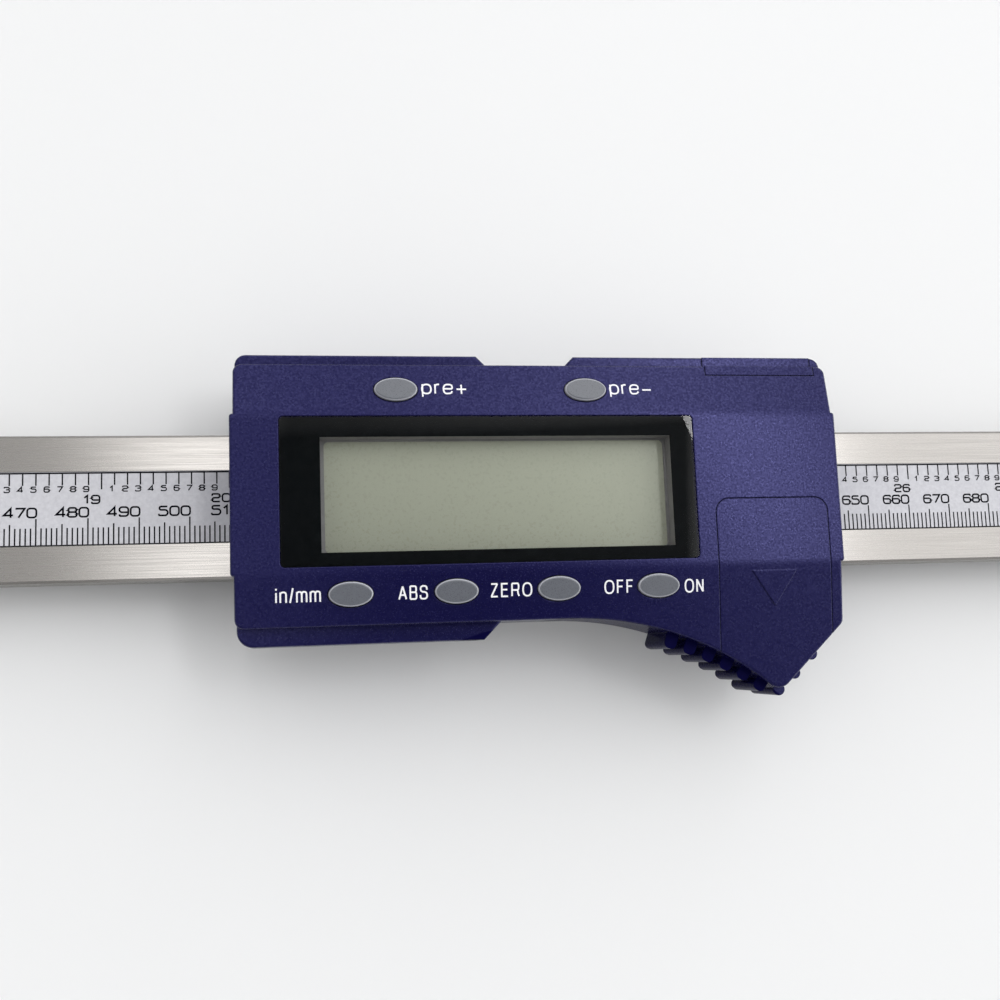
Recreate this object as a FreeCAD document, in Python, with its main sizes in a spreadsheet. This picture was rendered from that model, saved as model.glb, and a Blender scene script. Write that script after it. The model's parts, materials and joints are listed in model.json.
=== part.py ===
# Digital linear scale: a slider with a display runs along a graduated steel beam.
# X runs along the beam, Y across it and Z out of its front. The origin is at the middle of the beam,
# on the plane that its two end feet are bolted to.
import FreeCAD, Part
import os
import re

import Sketcher

# Driving dimensions, in millimetres and degrees
DIMENSIONS = [
    # Beam and its strip
    ("travel", 1000, "measuring range"),
    ("rest_reading", 508.7, "reading at rest, at the slider's left face"),
    ("end_margin", 20, "beam left past the slider at each end of the range"),
    ("beam_width", 30, "width of the beam"),
    ("beam_thick", 9, "thickness of the beam"),
    ("beam_chamfer", 0.5, "chamfer along the front edges of the beam"),
    ("groove_width", 15.2, "groove for the strips in the front of the beam"),
    ("stator_thick", 0.6, "thickness of the stator strip"),
    ("film_thick", 0.2, "thickness of the printed graduation strip"),
    ("strip_gap", 0.1, "gap between a strip and each side of the groove"),
    # End feet
    ("foot_thick", 5, "thickness of an end foot"),
    ("foot_lap", 18, "length of a foot under the beam"),
    ("foot_tab", 20, "length of a foot past the beam"),
    ("foot_width", 34, "width of a foot"),
    ("foot_corner", 6, "corner radius of a foot's tab"),
    ("foot_hole", 5.5, "mounting hole diameter in a foot"),
    ("foot_hole_spacing", 20, "distance between a foot's two mounting holes"),
    ("foot_screw_spacing", 16, "distance between the screws that hold a foot to the beam"),
    ("foot_screw_depth", 6, "depth of the beam's tapped holes"),
    ("foot_screw_head", 7, "head diameter of a foot screw"),
    ("foot_screw_shank", 4, "shank diameter of a foot screw"),
    ("foot_screw_seat", 3, "depth of the counterbore for a foot screw"),
    # Slider housing, seen from the front
    ("side_above", 12, "front face past the beam, on its upper side"),
    ("side_below", 10.8, "front face past the beam, on its lower side"),
    ("upper_strip", 10.5, "width of the upper key strip"),
    ("lower_strip", 10.2, "width of the lower key strip"),
    ("tab_reach", 0.7, "reach of an end tab past the housing"),
    ("tab_corner", 0.6, "corner radius of an end tab"),
    ("front_corner", 1.8, "corner radius of the front outline"),
    ("wing_reach_above", 2.24, "upper wings past the front face"),
    ("wing_reach_below", 3.6, "lower wing past the front face"),
    ("wing_inset", 0.3, "wing set back from the housing's end"),
    ("wing_corner", 2.2, "outer corner radius of an upper wing"),
    ("lower_wing_corner", 3.2, "outer corner radius of the lower wing"),
    ("upper_wing_end", 50.1, "end of the upper left wing"),
    ("upper_wing_length", 56.3, "start of the upper right wing, from the slider's right face"),
    ("lower_wing_end", 49.9, "end of the lower wing"),
    ("grip_length", 60, "start of the finger grip's hollow curve, from the slider's right face"),
    ("grip_radius", 68.6, "radius of the finger grip's hollow curve"),
    ("grip_tip_inset", 15.05, "tip of the finger grip, from the slider's right face"),
    ("grip_flank_drop", 2.6, "start of the grip's right flank, below the front face"),
    ("grip_nose", 3, "radius at the tip of the grip"),
    ("rib_radius", 1.3, "half the width of a grip rib"),
    ("rib_corner", 1.1, "corner radius at the outer end of a rib"),
    ("rib_stand", 1.8, "reach of the first rib past the grip's wall, less its half width"),
    ("rib_fall", 0.17, "loss of that reach from each rib to the next"),
    ("rib_first", 23, "first rib, along the hollow curve"),
    ("rib_pitch", 4.42, "distance between the ribs on the hollow curve"),
    ("rib_lip", 2.5, "lip of the front face over the ribs"),
    ("tip_rib_inset", 0.6, "centre of the rib at the tip, inside the sharp tip"),
    ("flank_rib_first", 5.75, "first rib on the flank, from the sharp tip"),
    ("flank_rib_pitch", 5.5, "distance between the ribs on the flank"),
    ("flank_rib_stand", 0.15, "centre of a flank rib outside the flank"),
    # Slider housing, heights above the strip
    ("band_height", 15, "front of the middle band"),
    ("strip_slope", 11, "fall of the upper key strip away from the band, in degrees"),
    ("lower_strip_slope", 6.5, "fall of the lower key strip away from the band, in degrees"),
    ("crease_radius", 12, "rounding between the band and the key strips"),
    ("wing_height", 11.5, "front of the wings"),
    ("skirt_depth", 3.4, "depth of the housing's skirt behind the strip"),
    ("wall", 2, "wall of the housing"),
    ("edge_round", 0.5, "rounding of the housing's front edges"),
    ("beam_clear", 0.5, "gap between the housing's ends and the beam"),
    # Display
    ("window_left", 9.5, "left edge of the window"),
    ("band_over_window", 0.55, "flat middle band above the window"),
    ("band_under_window", 1.4, "flat middle band below the window"),
    ("window_corner", 1, "corner radius of the window"),
    ("window_depth", 1.4, "depth of the window's recess"),
    ("window_sink", 0.15, "window below the band"),
    ("window_gap", 0.12, "gap round the window"),
    ("window_shelf", 0.8, "shelf that carries the window"),
    ("mask_thick", 0.15, "black border film behind the window"),
    ("border_left", 8.1, "black border left of the visible display"),
    ("border_right", 4.8, "black border right of the visible display"),
    ("border_top", 4.05, "black border above the visible display"),
    ("border_bottom", 2.9, "black border below the visible display"),
    ("view_width", 72.8, "width of the visible display"),
    ("view_depth", 3.9, "display panel behind the black border"),
    ("panel_margin", 2.4, "display panel past the visible area"),
    ("panel_thick", 1.8, "thickness of the display panel"),
    ("panel_gap", 0.2, "gap round the display panel"),
    ("frame_wall", 1.5, "wall of the display frame round the panel"),
    ("frame_play", 0.1, "gap between the display frame and the housing"),
    ("frame_collar", 0.5, "wall of the display frame inside the window's shelf"),
    ("frame_lip_left", 0.85, "lip of the display frame over the panel, at its left"),
    ("frame_lip_right", 0.45, "that lip at the right"),
    ("frame_lip_top", 0.35, "that lip at the top"),
    ("frame_lip_bottom", 0.15, "that lip at the bottom"),
    ("frame_lip_thick", 0.5, "thickness of that lip"),
    ("frame_lip_corner", 1, "corner radius of the opening inside that lip"),
    ("zebra_width", 2.2, "width of a contact strip of the display"),
    ("zebra_inset", 1.4, "contact strip inside the edges of the panel"),
    # Keys
    ("key_length", 8.75, "length of an oval key"),
    ("key_width", 4.9, "width of an oval key"),
    ("key_proud", 0.8, "key above the key strip"),
    ("key_gap", 0.2, "gap round a key"),
    ("key_collar", 0.8, "collar that keeps a key in the housing"),
    ("key_play", 0.1, "gap between a key's collar and the housing"),
    ("key_round", 0.45, "rounding of a key's rim"),
    ("key_travel", 0.5, "travel of a key"),
    ("upper_key_inset", 5, "row of the preset keys above the middle band"),
    ("lower_key_inset", 4.05, "row of the four lower keys below the middle band"),
    ("preset_plus_inset", 15.4, "preset plus key from the visible display's left edge"),
    ("preset_minus_inset", 17.9, "preset minus key from the visible display's right edge"),
    ("first_key_inset", 5.5, "first lower key from the visible display's left edge"),
    ("last_key_inset", 4.45, "last lower key from the visible display's right edge"),
    ("dome_radius", 3, "radius of a snap dome"),
    ("dome_crown", 1.8, "radius of a snap dome's top"),
    ("dome_height", 0.4, "height of a snap dome"),
    # Boards
    ("sensor_gap", 0.3, "gap between the sensor board and the strip"),
    ("sensor_thick", 1.2, "thickness of the sensor board"),
    ("sensor_inset", 18.6, "sensor board short of the slider's ends"),
    ("sensor_width", 14, "width of the sensor board"),
    ("board_height", 5, "back of the main board above the strip"),
    ("board_thick", 1.2, "thickness of the main board"),
    ("board_edge", 1.8, "main board short of the housing's inside"),
    ("header_shift", 3.6, "connector between the boards, left of the slider's middle"),
    ("header_length", 12, "length of that connector"),
    ("header_width", 2.6, "width of that connector"),
    ("chip_side", 10, "side of the controller chip"),
    ("chip_thick", 1.2, "thickness of the controller chip"),
    ("chip_inset", 18.4, "centre of the controller chip from the visible display's left edge"),
    ("board_screw_out", 2.6, "left board screws left of the visible display"),
    ("board_screw_above", 3.5, "upper board screws above the middle band"),
    ("board_screw_below", 3.9, "lower board screws below the middle band"),
    ("board_boss", 4, "diameter of a board boss"),
    ("board_screw", 1.9, "shank diameter of a board screw"),
    ("board_screw_head", 3.6, "head diameter of a board screw"),
    ("board_screw_flat", 1.2, "head height of a board screw"),
    ("board_screw_bite", 2.6, "depth of a board screw in its boss"),
    # Battery compartment
    ("lid_space", 3.9, "housing between the window and the battery cover"),
    ("lid_width", 25, "width of the battery cover"),
    ("lid_inset", 3.1, "battery cover short of the slider's right face"),
    ("lid_over_cell", 0.95, "battery cover past the coin cell's well, at its upper edge"),
    ("lid_corner", 3, "corner radius of the battery cover"),
    ("lid_thick", 1.6, "thickness of the battery cover"),
    ("lid_gap", 0.15, "gap round the battery cover"),
    ("arrow_inset", 7.3, "left corner of the arrow from the battery cover's left edge"),
    ("arrow_width", 9.8, "width of the arrow"),
    ("arrow_drop", 1.5, "upper side of the arrow below the middle band"),
    ("arrow_height", 7.4, "height of the arrow"),
    ("arrow_stand", 0.2, "arrow above the battery cover"),
    ("cell_radius", 10, "radius of the coin cell"),
    ("cell_thick", 3.2, "thickness of the coin cell"),
    ("cell_step", 0.4, "step round the coin cell's negative can"),
    ("cell_gap", 0.3, "gap round the coin cell"),
    ("cell_inset", 12.8, "centre of the coin cell above the front face's lower edge"),
    ("contact_thick", 0.3, "thickness of a battery contact"),
    ("contact_width", 5, "width of a battery contact"),
    ("contact_spring", 0.4, "bump of the negative contact"),
    ("contact_bump", 1.7, "radius of that bump"),
    ("contact_lap", 2.2, "lap of a battery contact on the main board"),
    ("contact_gap", 0.2, "gap round a battery contact"),
    ("tray_floor", 1.6, "floor under the coin cell"),
    ("tray_wall", 1.5, "wall between the boards' room and the battery cover's bed"),
    # Data port
    ("flap_width", 24.8, "width of the data port cover"),
    ("flap_inset", 3.2, "data port cover short of the slider's right face"),
    ("flap_lap", 2, "lap of the data port cover on the front face"),
    ("flap_thick", 1.5, "thickness of the data port cover"),
    ("flap_foot", 1, "lower end of the data port cover, above the strip"),
    ("flap_gap", 0.15, "gap round the data port cover"),
    ("port_width", 12, "width of the data port"),
    ("port_height", 3.4, "height of the data port"),
    ("port_floor", 0.6, "data port's floor below the main board's front"),
    ("pad_width", 1.4, "width of a data contact"),
    ("pad_length", 4, "length of a data contact"),
    ("pad_thick", 0.3, "thickness of a data contact"),
    ("pad_pitch", 2.5, "distance between data contacts"),
    # Carriage
    ("running_gap", 0.1, "gap between the beam and what runs on it"),
    ("carriage_inset", 3.6, "carriage short of the slider's ends"),
    ("flange_width", 7.2, "flanges of the carriage past the beam"),
    ("web_thick", 2, "thickness of the carriage's web"),
    ("header_slot_gap", 0.7, "gap round the connector in the web"),
    ("gib_thick", 1.4, "thickness of the gib strip"),
    ("gib_play", 0.05, "gap behind the gib strip"),
    ("gib_short", 4.4, "gib strip short of the carriage's ends"),
    ("gib_edge", 0.5, "gib strip inside the beam's faces"),
    ("gib_screw", 3, "diameter of a gib screw"),
    ("gib_screw_inset", 27.2, "gib screws from the slider's ends"),
    ("gib_screw_proud", 0.6, "gib screw outside the carriage"),
    ("screw_play", 0.05, "gap round a screw's thread"),
    ("flange_hole", 4.2, "line of the screws in the carriage's flanges, past the beam"),
    ("plate_thick", 3.4, "thickness of the back plate"),
    ("plate_corner", 2, "corner radius of the back plate"),
    ("plate_screw_inset", 15, "outer back plate screws from the slider's ends"),
    ("plate_screw", 3, "shank diameter of a back plate screw"),
    ("plate_screw_head", 5.4, "head diameter of a back plate screw"),
    ("plate_screw_seat", 2, "depth of a back plate screw's counterbore"),
    ("plate_screw_bite", 7, "depth of a back plate screw in the carriage"),
    ("head_play", 0.15, "gap round a screw's head"),
    ("head_sink", 0.2, "screw head below the face round it"),
    ("mount_inset", 38.6, "slider mounting holes from the slider's ends"),
    ("mount_hole", 3.3, "slider mounting hole diameter, tapped"),
    ("mount_relief", 4.4, "relief in the carriage behind a mounting hole"),
    ("mount_depth", 6, "depth of that relief"),
    ("cover_screw", 2.5, "shank diameter of a cover screw"),
    ("cover_screw_head", 4.6, "head diameter of a cover screw"),
    ("cover_screw_flat", 1.8, "head height of a cover screw"),
    ("cover_screw_seat", 4, "depth of a cover screw's counterbore"),
    ("cover_screw_bite", 6, "depth of a cover screw in its boss"),
    ("cover_boss", 6, "diameter of a cover boss"),
    ("cover_boss_inset", 8, "cover bosses from the slider's ends"),
    ("cover_boss_lap", 2.3, "lower right cover boss left of the battery tray"),
    ("socket_share", 0.6, "share of a screw's shank and head that its socket takes"),
    ("boss_root", 0.5, "length of a boss inside the wall that it stands on"),
]

# Dimensions that follow from the driving ones
DERIVED = [
    ("front_top", "beam_width / 2 + side_above", "upper edge of the front face"),
    ("front_bottom", "beam_width / 2 + side_below", "lower edge of the front face"),
    ("band_top", "front_top - upper_strip", "upper edge of the flat middle band"),
    ("band_bottom", "front_bottom - lower_strip", "lower edge of the flat middle band"),
    ("window_top", "band_top - band_over_window", "upper edge of the window"),
    ("window_height", "window_top + band_bottom - band_under_window", "height of the window"),
    ("window_width", "border_left + view_width + border_right", "width of the window"),
    ("view_left", "window_left + border_left", "left edge of the visible display"),
    ("view_right", "view_left + view_width", "right edge of the visible display"),
    ("view_top", "window_top - border_top", "upper edge of the visible display"),
    ("view_height", "window_height - border_top - border_bottom", "height of the visible display"),
    ("lid_left", "window_left + window_width + lid_space", "left edge of the battery cover"),
    ("lid_right", "lid_left + lid_width", "right edge of the battery cover"),
    ("tab_length", "lid_right + lid_inset", "length of the slider over its end tabs"),
    ("wing_top", "front_top + wing_reach_above", "reach of the upper wings"),
    ("wing_bottom", "front_bottom + wing_reach_below", "reach of the lower wing"),
    ("upper_wing_start", "tab_length - upper_wing_length", "start of the upper right wing"),
    ("grip_start", "tab_length - grip_length", "start of the finger grip's hollow curve"),
    ("grip_tip", "tab_length - grip_tip_inset", "tip of the finger grip"),
    ("grip_flank", "front_bottom + grip_flank_drop", "start of the grip's right flank"),
    ("upper_key_row", "band_top + upper_key_inset", "row of the preset keys"),
    ("lower_key_row", "band_bottom + lower_key_inset", "row of the four lower keys"),
    ("preset_plus_place", "view_left + preset_plus_inset", "preset plus key"),
    ("preset_minus_place", "view_right - preset_minus_inset", "preset minus key"),
    ("first_key_place", "view_left + first_key_inset", "first of the four lower keys"),
    ("last_key_place", "view_right - last_key_inset", "last of the four lower keys"),
    ("lower_key_pitch", "(last_key_place - first_key_place) / 3", "distance between the lower keys"),
    ("sensor_length", "tab_length - 2 * sensor_inset", "length of the sensor board"),
    ("header_place", "tab_length / 2 - header_shift", "connector between the boards"),
    ("chip_place", "view_left + chip_inset", "centre of the controller chip"),
    ("board_screw_left", "view_left - board_screw_out", "left pair of board screws"),
    ("board_screw_low", "last_key_place - lower_key_pitch / 2", "lower right board screw"),
    ("board_screw_up", "band_top + board_screw_above", "upper row of board screws"),
    ("board_screw_down", "band_bottom + board_screw_below", "lower row of board screws"),
    ("cell_place", "lid_left + lid_width / 2", "centre of the coin cell"),
    ("cell_row", "front_bottom - cell_inset", "centre of the coin cell, below the middle line"),
    ("lid_top", "cell_row - cell_radius - cell_gap - lid_over_cell", "upper edge of the battery cover"),
    ("arrow_left", "lid_left + arrow_inset", "left corner of the arrow"),
    ("arrow_top", "band_bottom + arrow_drop", "upper side of the arrow"),
    ("flap_right", "tab_length - flap_inset", "right edge of the data port cover"),
    ("flap_left", "flap_right - flap_width", "left edge of the data port cover"),
    ("flap_edge", "front_top - flap_lap", "edge of the data port cover on the front"),
    ("carriage_half", "beam_width / 2 + flange_width", "half the width of the carriage"),
    ("hole_line", "beam_width / 2 + flange_hole", "line of the screws in the carriage's flanges"),
    ("gib_screw_offset", "tab_length / 2 - gib_screw_inset", "gib screws from the slider's middle"),
    ("plate_screw_offset", "tab_length / 2 - plate_screw_inset", "outer back plate screws from the middle"),
    ("mount_spacing", "tab_length - 2 * mount_inset", "slider mounting holes along the beam"),
    ("cover_boss_right", "tab_length - cover_boss_inset", "upper right cover boss"),
    ("cover_boss_low", "lid_left - tray_wall - cover_boss_lap", "lower right cover boss"),
]

NAMES = {name for name, content, meaning in DIMENSIONS + DERIVED}
RIBS_ON_CURVE = 6
RIBS_ON_FLANK = 2
LOWER_KEYS = ["key_unit", "key_absolute", "key_zero", "key_power"]
DATA_PADS = 4
# Room that a cutting profile takes beyond the piece that it cuts
SPARE = "5"

doc = FreeCAD.newDocument("digital_linear_scale")
sheet = doc.addObject("Spreadsheet::Sheet", "dims")
for row, (name, content, meaning) in enumerate(DIMENSIONS + DERIVED, start=1):
    sheet.set("A%d" % row, meaning)
    sheet.set("B%d" % row, "=" + content if isinstance(content, str) else str(content))
    sheet.setAlias("B%d" % row, name)
doc.recompute()

# Places and levels worked out from the driving dimensions
BEAM_LENGTH = "(travel + tab_length + 2 * end_margin)"
STRIP_PLANE = "(foot_thick + beam_thick)"
SLIDER_LEFT = "(rest_reading - (travel + tab_length) / 2)"
FRONT_LEFT = "tab_reach"
FRONT_RIGHT = "(tab_length - tab_reach)"
GRIP_AXIS = "(-front_bottom - grip_radius)"
TIP = "(%s + sqrt(grip_radius^2 - (grip_tip - grip_start)^2))" % GRIP_AXIS
TANGENT = "(crease_radius * tan(strip_slope / 2))"
LOWER_TANGENT = "(crease_radius * tan(lower_strip_slope / 2))"
CEILING = "(band_height - (front_top - band_top) * tan(strip_slope) - wall)"
WINDOW_FLOOR = "(band_height - window_depth)"
DISPLAY_CEILING = "(band_height - window_depth - window_shelf)"
WEB_BACK = "(sensor_gap + sensor_thick)"
WEB_FRONT = "(sensor_gap + sensor_thick + web_thick)"
BOARD_FRONT = "(board_height + board_thick)"
FLANGE_BACK = "(-beam_thick - running_gap)"
PLATE_BACK = "(-beam_thick - running_gap - plate_thick)"
LOWER_FLANGE = "(beam_width / 2 + running_gap)"
UPPER_FLANGE = "(beam_width / 2 + running_gap + gib_thick + gib_play)"
CARRIAGE_LENGTH = "(tab_length - 2 * carriage_inset)"
MIDDLE = "(tab_length / 2)"
PANEL_FRONT = "(%s - view_depth)" % WINDOW_FLOOR
PANEL_BACK = "(%s - panel_thick)" % PANEL_FRONT
PANEL_LEFT = "(view_left - panel_margin)"
PANEL_RIGHT = "(view_right + panel_margin)"
PANEL_TOP = "(view_top + panel_margin)"
PANEL_BOTTOM = "(view_top - view_height - panel_margin)"
FRAME_EDGE = "(panel_gap + frame_wall)"
TRAY_LEFT = "(lid_left - tray_wall)"
TRAY_TOP = "(-lid_top + wall)"
TRAY_CEILING = "(%s - tray_floor)" % BOARD_FRONT
CELL_BACK = "(%s + contact_thick + contact_spring)" % BOARD_FRONT
BOARD_LEFT = "(cover_boss_inset + cover_boss / 2 + board_edge - contact_gap)"
BOARD_TOP = "(front_top - wall - board_edge)"
BOARD_BOTTOM = "(-front_bottom + wall + board_edge)"
BOARD_RIGHT = "(%s - contact_gap)" % TRAY_LEFT
EXTENSION_RIGHT = "(cover_boss_right - cover_boss / 2 - contact_gap)"
EXTENSION_BOTTOM = "(%s + board_edge)" % TRAY_TOP
DATA_EDGE = "(front_top - wall - contact_gap)"
PORT_PLACE = "((flap_left + %s) / 2)" % EXTENSION_RIGHT
COVER_BOSSES = [
    ("cover_boss_inset", "hole_line"),
    ("cover_boss_inset", "-hole_line"),
    ("cover_boss_right", "hole_line"),
    ("cover_boss_low", "-hole_line"),
]
BOARD_BOSSES = [
    ("board_screw_left", "board_screw_up"),
    ("view_right", "board_screw_up"),
    ("board_screw_left", "-board_screw_down"),
    ("board_screw_low", "-board_screw_down"),
]
PLATE_SCREWS = [
    ("%s + %d * plate_screw_offset" % (MIDDLE, along), "%d * hole_line" % side)
    for side in (-1, 1)
    for along in (-1, 0, 1)
]
MOUNT_HOLES = [
    ("%s + %d * mount_spacing / 2" % (MIDDLE, along), "%d * hole_line" % side)
    for side in (-1, 1)
    for along in (-1, 1)
]
KEYS = [
    ("key_preset_plus", "preset_plus_place", 1),
    ("key_preset_minus", "preset_minus_place", 1),
]
for number, label in enumerate(LOWER_KEYS):
    KEYS.append((label, "first_key_place + %d * lower_key_pitch" % number, -1))

pieces = []


def formula(text):
    """Write the named dimensions in a text as cells of the sheet."""
    def cell(match):
        return "dims." + match.group() if match.group() in NAMES else match.group()
    return re.sub(r"[a-z][a-z0-9_]*", cell, text)


def size(text):
    """Work out a formula's value now."""
    return float(sheet.evalExpression(formula(text)))


def bind(thing, name, text):
    """Tie a property of an object to a formula."""
    thing.setExpression(name, formula(text))


def place_on_slider(thing):
    """Measure a slider piece from the slider's left face and from the front of the strip."""
    bind(thing, ".Placement.Base.x", SLIDER_LEFT)
    bind(thing, ".Placement.Base.z", STRIP_PLANE)


def new_body(label, on_slider=True):
    """Start a piece that is built from sketches."""
    body = doc.addObject("PartDesign::Body", label)
    body.Label = label
    if on_slider:
        place_on_slider(body)
    pieces.append(body)
    return body


def new_sketch(body, plane, offset):
    """Start a sketch parallel to one of the body's own planes."""
    sketch = body.newObject("Sketcher::SketchObject", "sketch")
    role = plane + "_Plane"
    sketch.AttachmentSupport = [(next(f for f in body.Origin.OriginFeatures if f.Role == role), "")]
    sketch.MapMode = "FlatFace"
    bind(sketch, ".AttachmentOffset.Base.z", offset)
    return sketch


def fix_point(sketch, geometry, end, x, y):
    """Tie one point of a sketch to two formulas."""
    for kind, text in (("DistanceX", x), ("DistanceY", y)):
        constraint = Sketcher.Constraint(kind, -1, 1, geometry, end, size(text))
        bind(sketch, "Constraints[%d]" % sketch.addConstraint(constraint), text)


def arc_between(start, end, radius, turn):
    """The shorter arc from start to end, anticlockwise where turn is 1 and clockwise where it is -1."""
    chord = end - start
    side = FreeCAD.Vector(-chord.y, chord.x, 0).normalize()
    rise = (radius ** 2 - (chord.Length / 2) ** 2) ** 0.5
    centre = (start + end) * 0.5 + side * (rise * turn)
    middle = centre - side * (radius * turn)
    return Part.Arc(start, middle, end)


def draw_outline(sketch, points, arcs=None):
    """Draw a closed outline; arcs gives the radius and turn of the sides that are round."""
    arcs = arcs or {}
    first = sketch.GeometryCount
    corners = [FreeCAD.Vector(size(x), size(y), 0) for x, y in points]
    count = len(corners)
    for side, corner in enumerate(corners):
        following = corners[(side + 1) % count]
        if side in arcs:
            radius, turn = arcs[side]
            sketch.addGeometry(arc_between(corner, following, size(radius), turn), False)
        else:
            sketch.addGeometry(Part.LineSegment(corner, following), False)

    def end_of(side, last):
        """A clockwise arc is stored the other way round."""
        clockwise = side in arcs and arcs[side][1] < 0
        return 2 if last != clockwise else 1

    for side in range(count):
        following = (side + 1) % count
        sketch.addConstraint(Sketcher.Constraint(
            "Coincident", first + side, end_of(side, True), first + following, end_of(following, False)))
    for side, (x, y) in enumerate(points):
        fix_point(sketch, first + side, end_of(side, False), x, y)
    for side, (radius, turn) in arcs.items():
        number = sketch.addConstraint(Sketcher.Constraint("Radius", first + side, size(radius)))
        bind(sketch, "Constraints[%d]" % number, radius)


def draw_rectangle(sketch, left, right, bottom, top):
    """Draw a rectangle between four formulas."""
    draw_outline(sketch, [(left, bottom), (right, bottom), (right, top), (left, top)])


def draw_rounded(sketch, left, right, bottom, top, radius):
    """Draw a rectangle with rounded corners between four formulas."""
    west, east = "%s + %s" % (left, radius), "%s - (%s)" % (right, radius)
    south, north = "%s + %s" % (bottom, radius), "%s - (%s)" % (top, radius)
    draw_outline(sketch, [
        (west, bottom), (east, bottom), (right, south), (right, north),
        (east, top), (west, top), (left, north), (left, south),
    ], {side: (radius, 1) for side in (1, 3, 5, 7)})


def draw_circle(sketch, x, y, radius):
    """Draw a circle about a place."""
    centre = FreeCAD.Vector(size(x), size(y), 0)
    circle = sketch.addGeometry(Part.Circle(centre, FreeCAD.Vector(0, 0, 1), size(radius)), False)
    fix_point(sketch, circle, 3, x, y)
    number = sketch.addConstraint(Sketcher.Constraint("Radius", circle, size(radius)))
    bind(sketch, "Constraints[%d]" % number, radius)


def draw_oval(sketch, x, y, length, width):
    """Draw an ellipse about a place, with its length along X."""
    centre = FreeCAD.Vector(size(x), size(y), 0)
    right = centre + FreeCAD.Vector(size(length) / 2, 0, 0)
    top = centre + FreeCAD.Vector(0, size(width) / 2, 0)
    oval = sketch.addGeometry(Part.Ellipse(right, top, centre), False)
    sketch.exposeInternalGeometry(oval)
    major, minor = oval + 1, oval + 2
    fix_point(sketch, oval, 3, x, y)
    sketch.addConstraint(Sketcher.Constraint("Horizontal", major))
    for axis, text in ((major, length), (minor, width)):
        number = sketch.addConstraint(Sketcher.Constraint("Distance", axis, size(text)))
        bind(sketch, "Constraints[%d]" % number, text)


def add(body, sketch, length):
    """Raise a sketch along its plane's normal."""
    pad = body.newObject("PartDesign::Pad", "pad")
    pad.Profile = sketch
    bind(pad, "Length", length)
    return pad


def cut(body, sketch, length, forward=False):
    """Cut a sketch back from its plane, or forward along the plane's normal."""
    pocket = body.newObject("PartDesign::Pocket", "pocket")
    pocket.Profile = sketch
    pocket.Reversed = forward
    bind(pocket, "Length", length)
    return pocket


def dress(body, kind, radius_name, radius, chosen):
    """Round or chamfer the edges of the piece so far that are chosen."""
    doc.recompute()
    base = body.Tip
    edges = ["Edge%d" % (n + 1) for n, edge in enumerate(base.Shape.Edges) if chosen(edge)]
    feature = body.newObject("PartDesign::" + kind, kind.lower())
    feature.Base = (base, edges)
    bind(feature, radius_name, radius)
    return feature


def upright_at(corners):
    """Choose the edges along Z at the given places."""
    spots = [(size(x), size(y)) for x, y in corners]

    def chosen(edge):
        box = edge.BoundBox
        if box.XLength > 0.01 or box.YLength > 0.01:
            return False
        return any(abs(box.XMin - x) < 0.05 and abs(box.YMin - y) < 0.05 for x, y in spots)
    return chosen


def front_rims(shape):
    """Choose the outer edges between a front face and a wall that falls away behind it."""
    def slant(face, point):
        return face.normalAt(*face.Surface.parameter(point)).z

    def chosen(edge):
        point = edge.valueAt((edge.FirstParameter + edge.LastParameter) / 2)
        faces = shape.ancestorsOfType(edge, Part.Face)
        walls = [face for face in faces if abs(slant(face, point)) < 0.01]
        fronts = [face for face in faces if slant(face, point) > 0.9]
        if len(walls) != 1 or len(fronts) != 1:
            return False
        return walls[0].BoundBox.ZMax < edge.BoundBox.ZMax + 0.01
    return chosen


def block(label, left, right, bottom, top, back, front, on_slider=True):
    """A piece with a rectangular outline, from a back level to a front level."""
    body = new_body(label, on_slider)
    sketch = new_sketch(body, "XY", back)
    draw_rectangle(sketch, left, right, bottom, top)
    add(body, sketch, "%s - %s" % (front, back))
    return body


def cylinder(x, y, z, radius, height):
    """A cylinder along Z, standing on a place."""
    solid = doc.addObject("Part::Cylinder", "cylinder")
    bind(solid, "Radius", radius)
    bind(solid, "Height", height)
    for axis, text in zip("xyz", (x, y, z)):
        bind(solid, ".Placement.Base." + axis, text)
    return solid


def bar(x, y, z, length, width, height):
    """A rectangular solid from one corner."""
    solid = doc.addObject("Part::Box", "bar")
    for name, text in (("Length", length), ("Width", width), ("Height", height)):
        bind(solid, name, text)
    for axis, text in zip("xyz", (x, y, z)):
        bind(solid, ".Placement.Base." + axis, text)
    return solid


def group(label, members, on_slider=True):
    """Several like solids as one piece."""
    compound = doc.addObject("Part::Compound", label)
    compound.Label = label
    compound.Links = members
    if on_slider:
        place_on_slider(compound)
    pieces.append(compound)
    return compound


def screws(label, places, seat, head, head_height, shank, reach, on_slider=True):
    """Screws that point along +Z, with hexagon sockets; seat is the level under each head."""
    members = []
    for x, y in places:
        level = "%s - %s" % (seat, head_height)
        head_solid = cylinder(x, y, level, "%s / 2" % head, head_height)
        shank_solid = cylinder(x, y, seat, "%s / 2" % shank, reach)
        whole = doc.addObject("Part::Fuse", "screw_blank")
        whole.Base = head_solid
        whole.Tool = shank_solid
        socket = doc.addObject("Part::Prism", "socket")
        socket.Polygon = 6
        bind(socket, "Circumradius", "%s * socket_share" % shank)
        bind(socket, "Height", "%s * socket_share" % head_height)
        for axis, text in zip("xyz", (x, y, level)):
            bind(socket, ".Placement.Base." + axis, text)
        screw = doc.addObject("Part::Cut", "screw")
        screw.Base = whole
        screw.Tool = socket
        members.append(screw)
    return group(label, members, on_slider)


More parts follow.
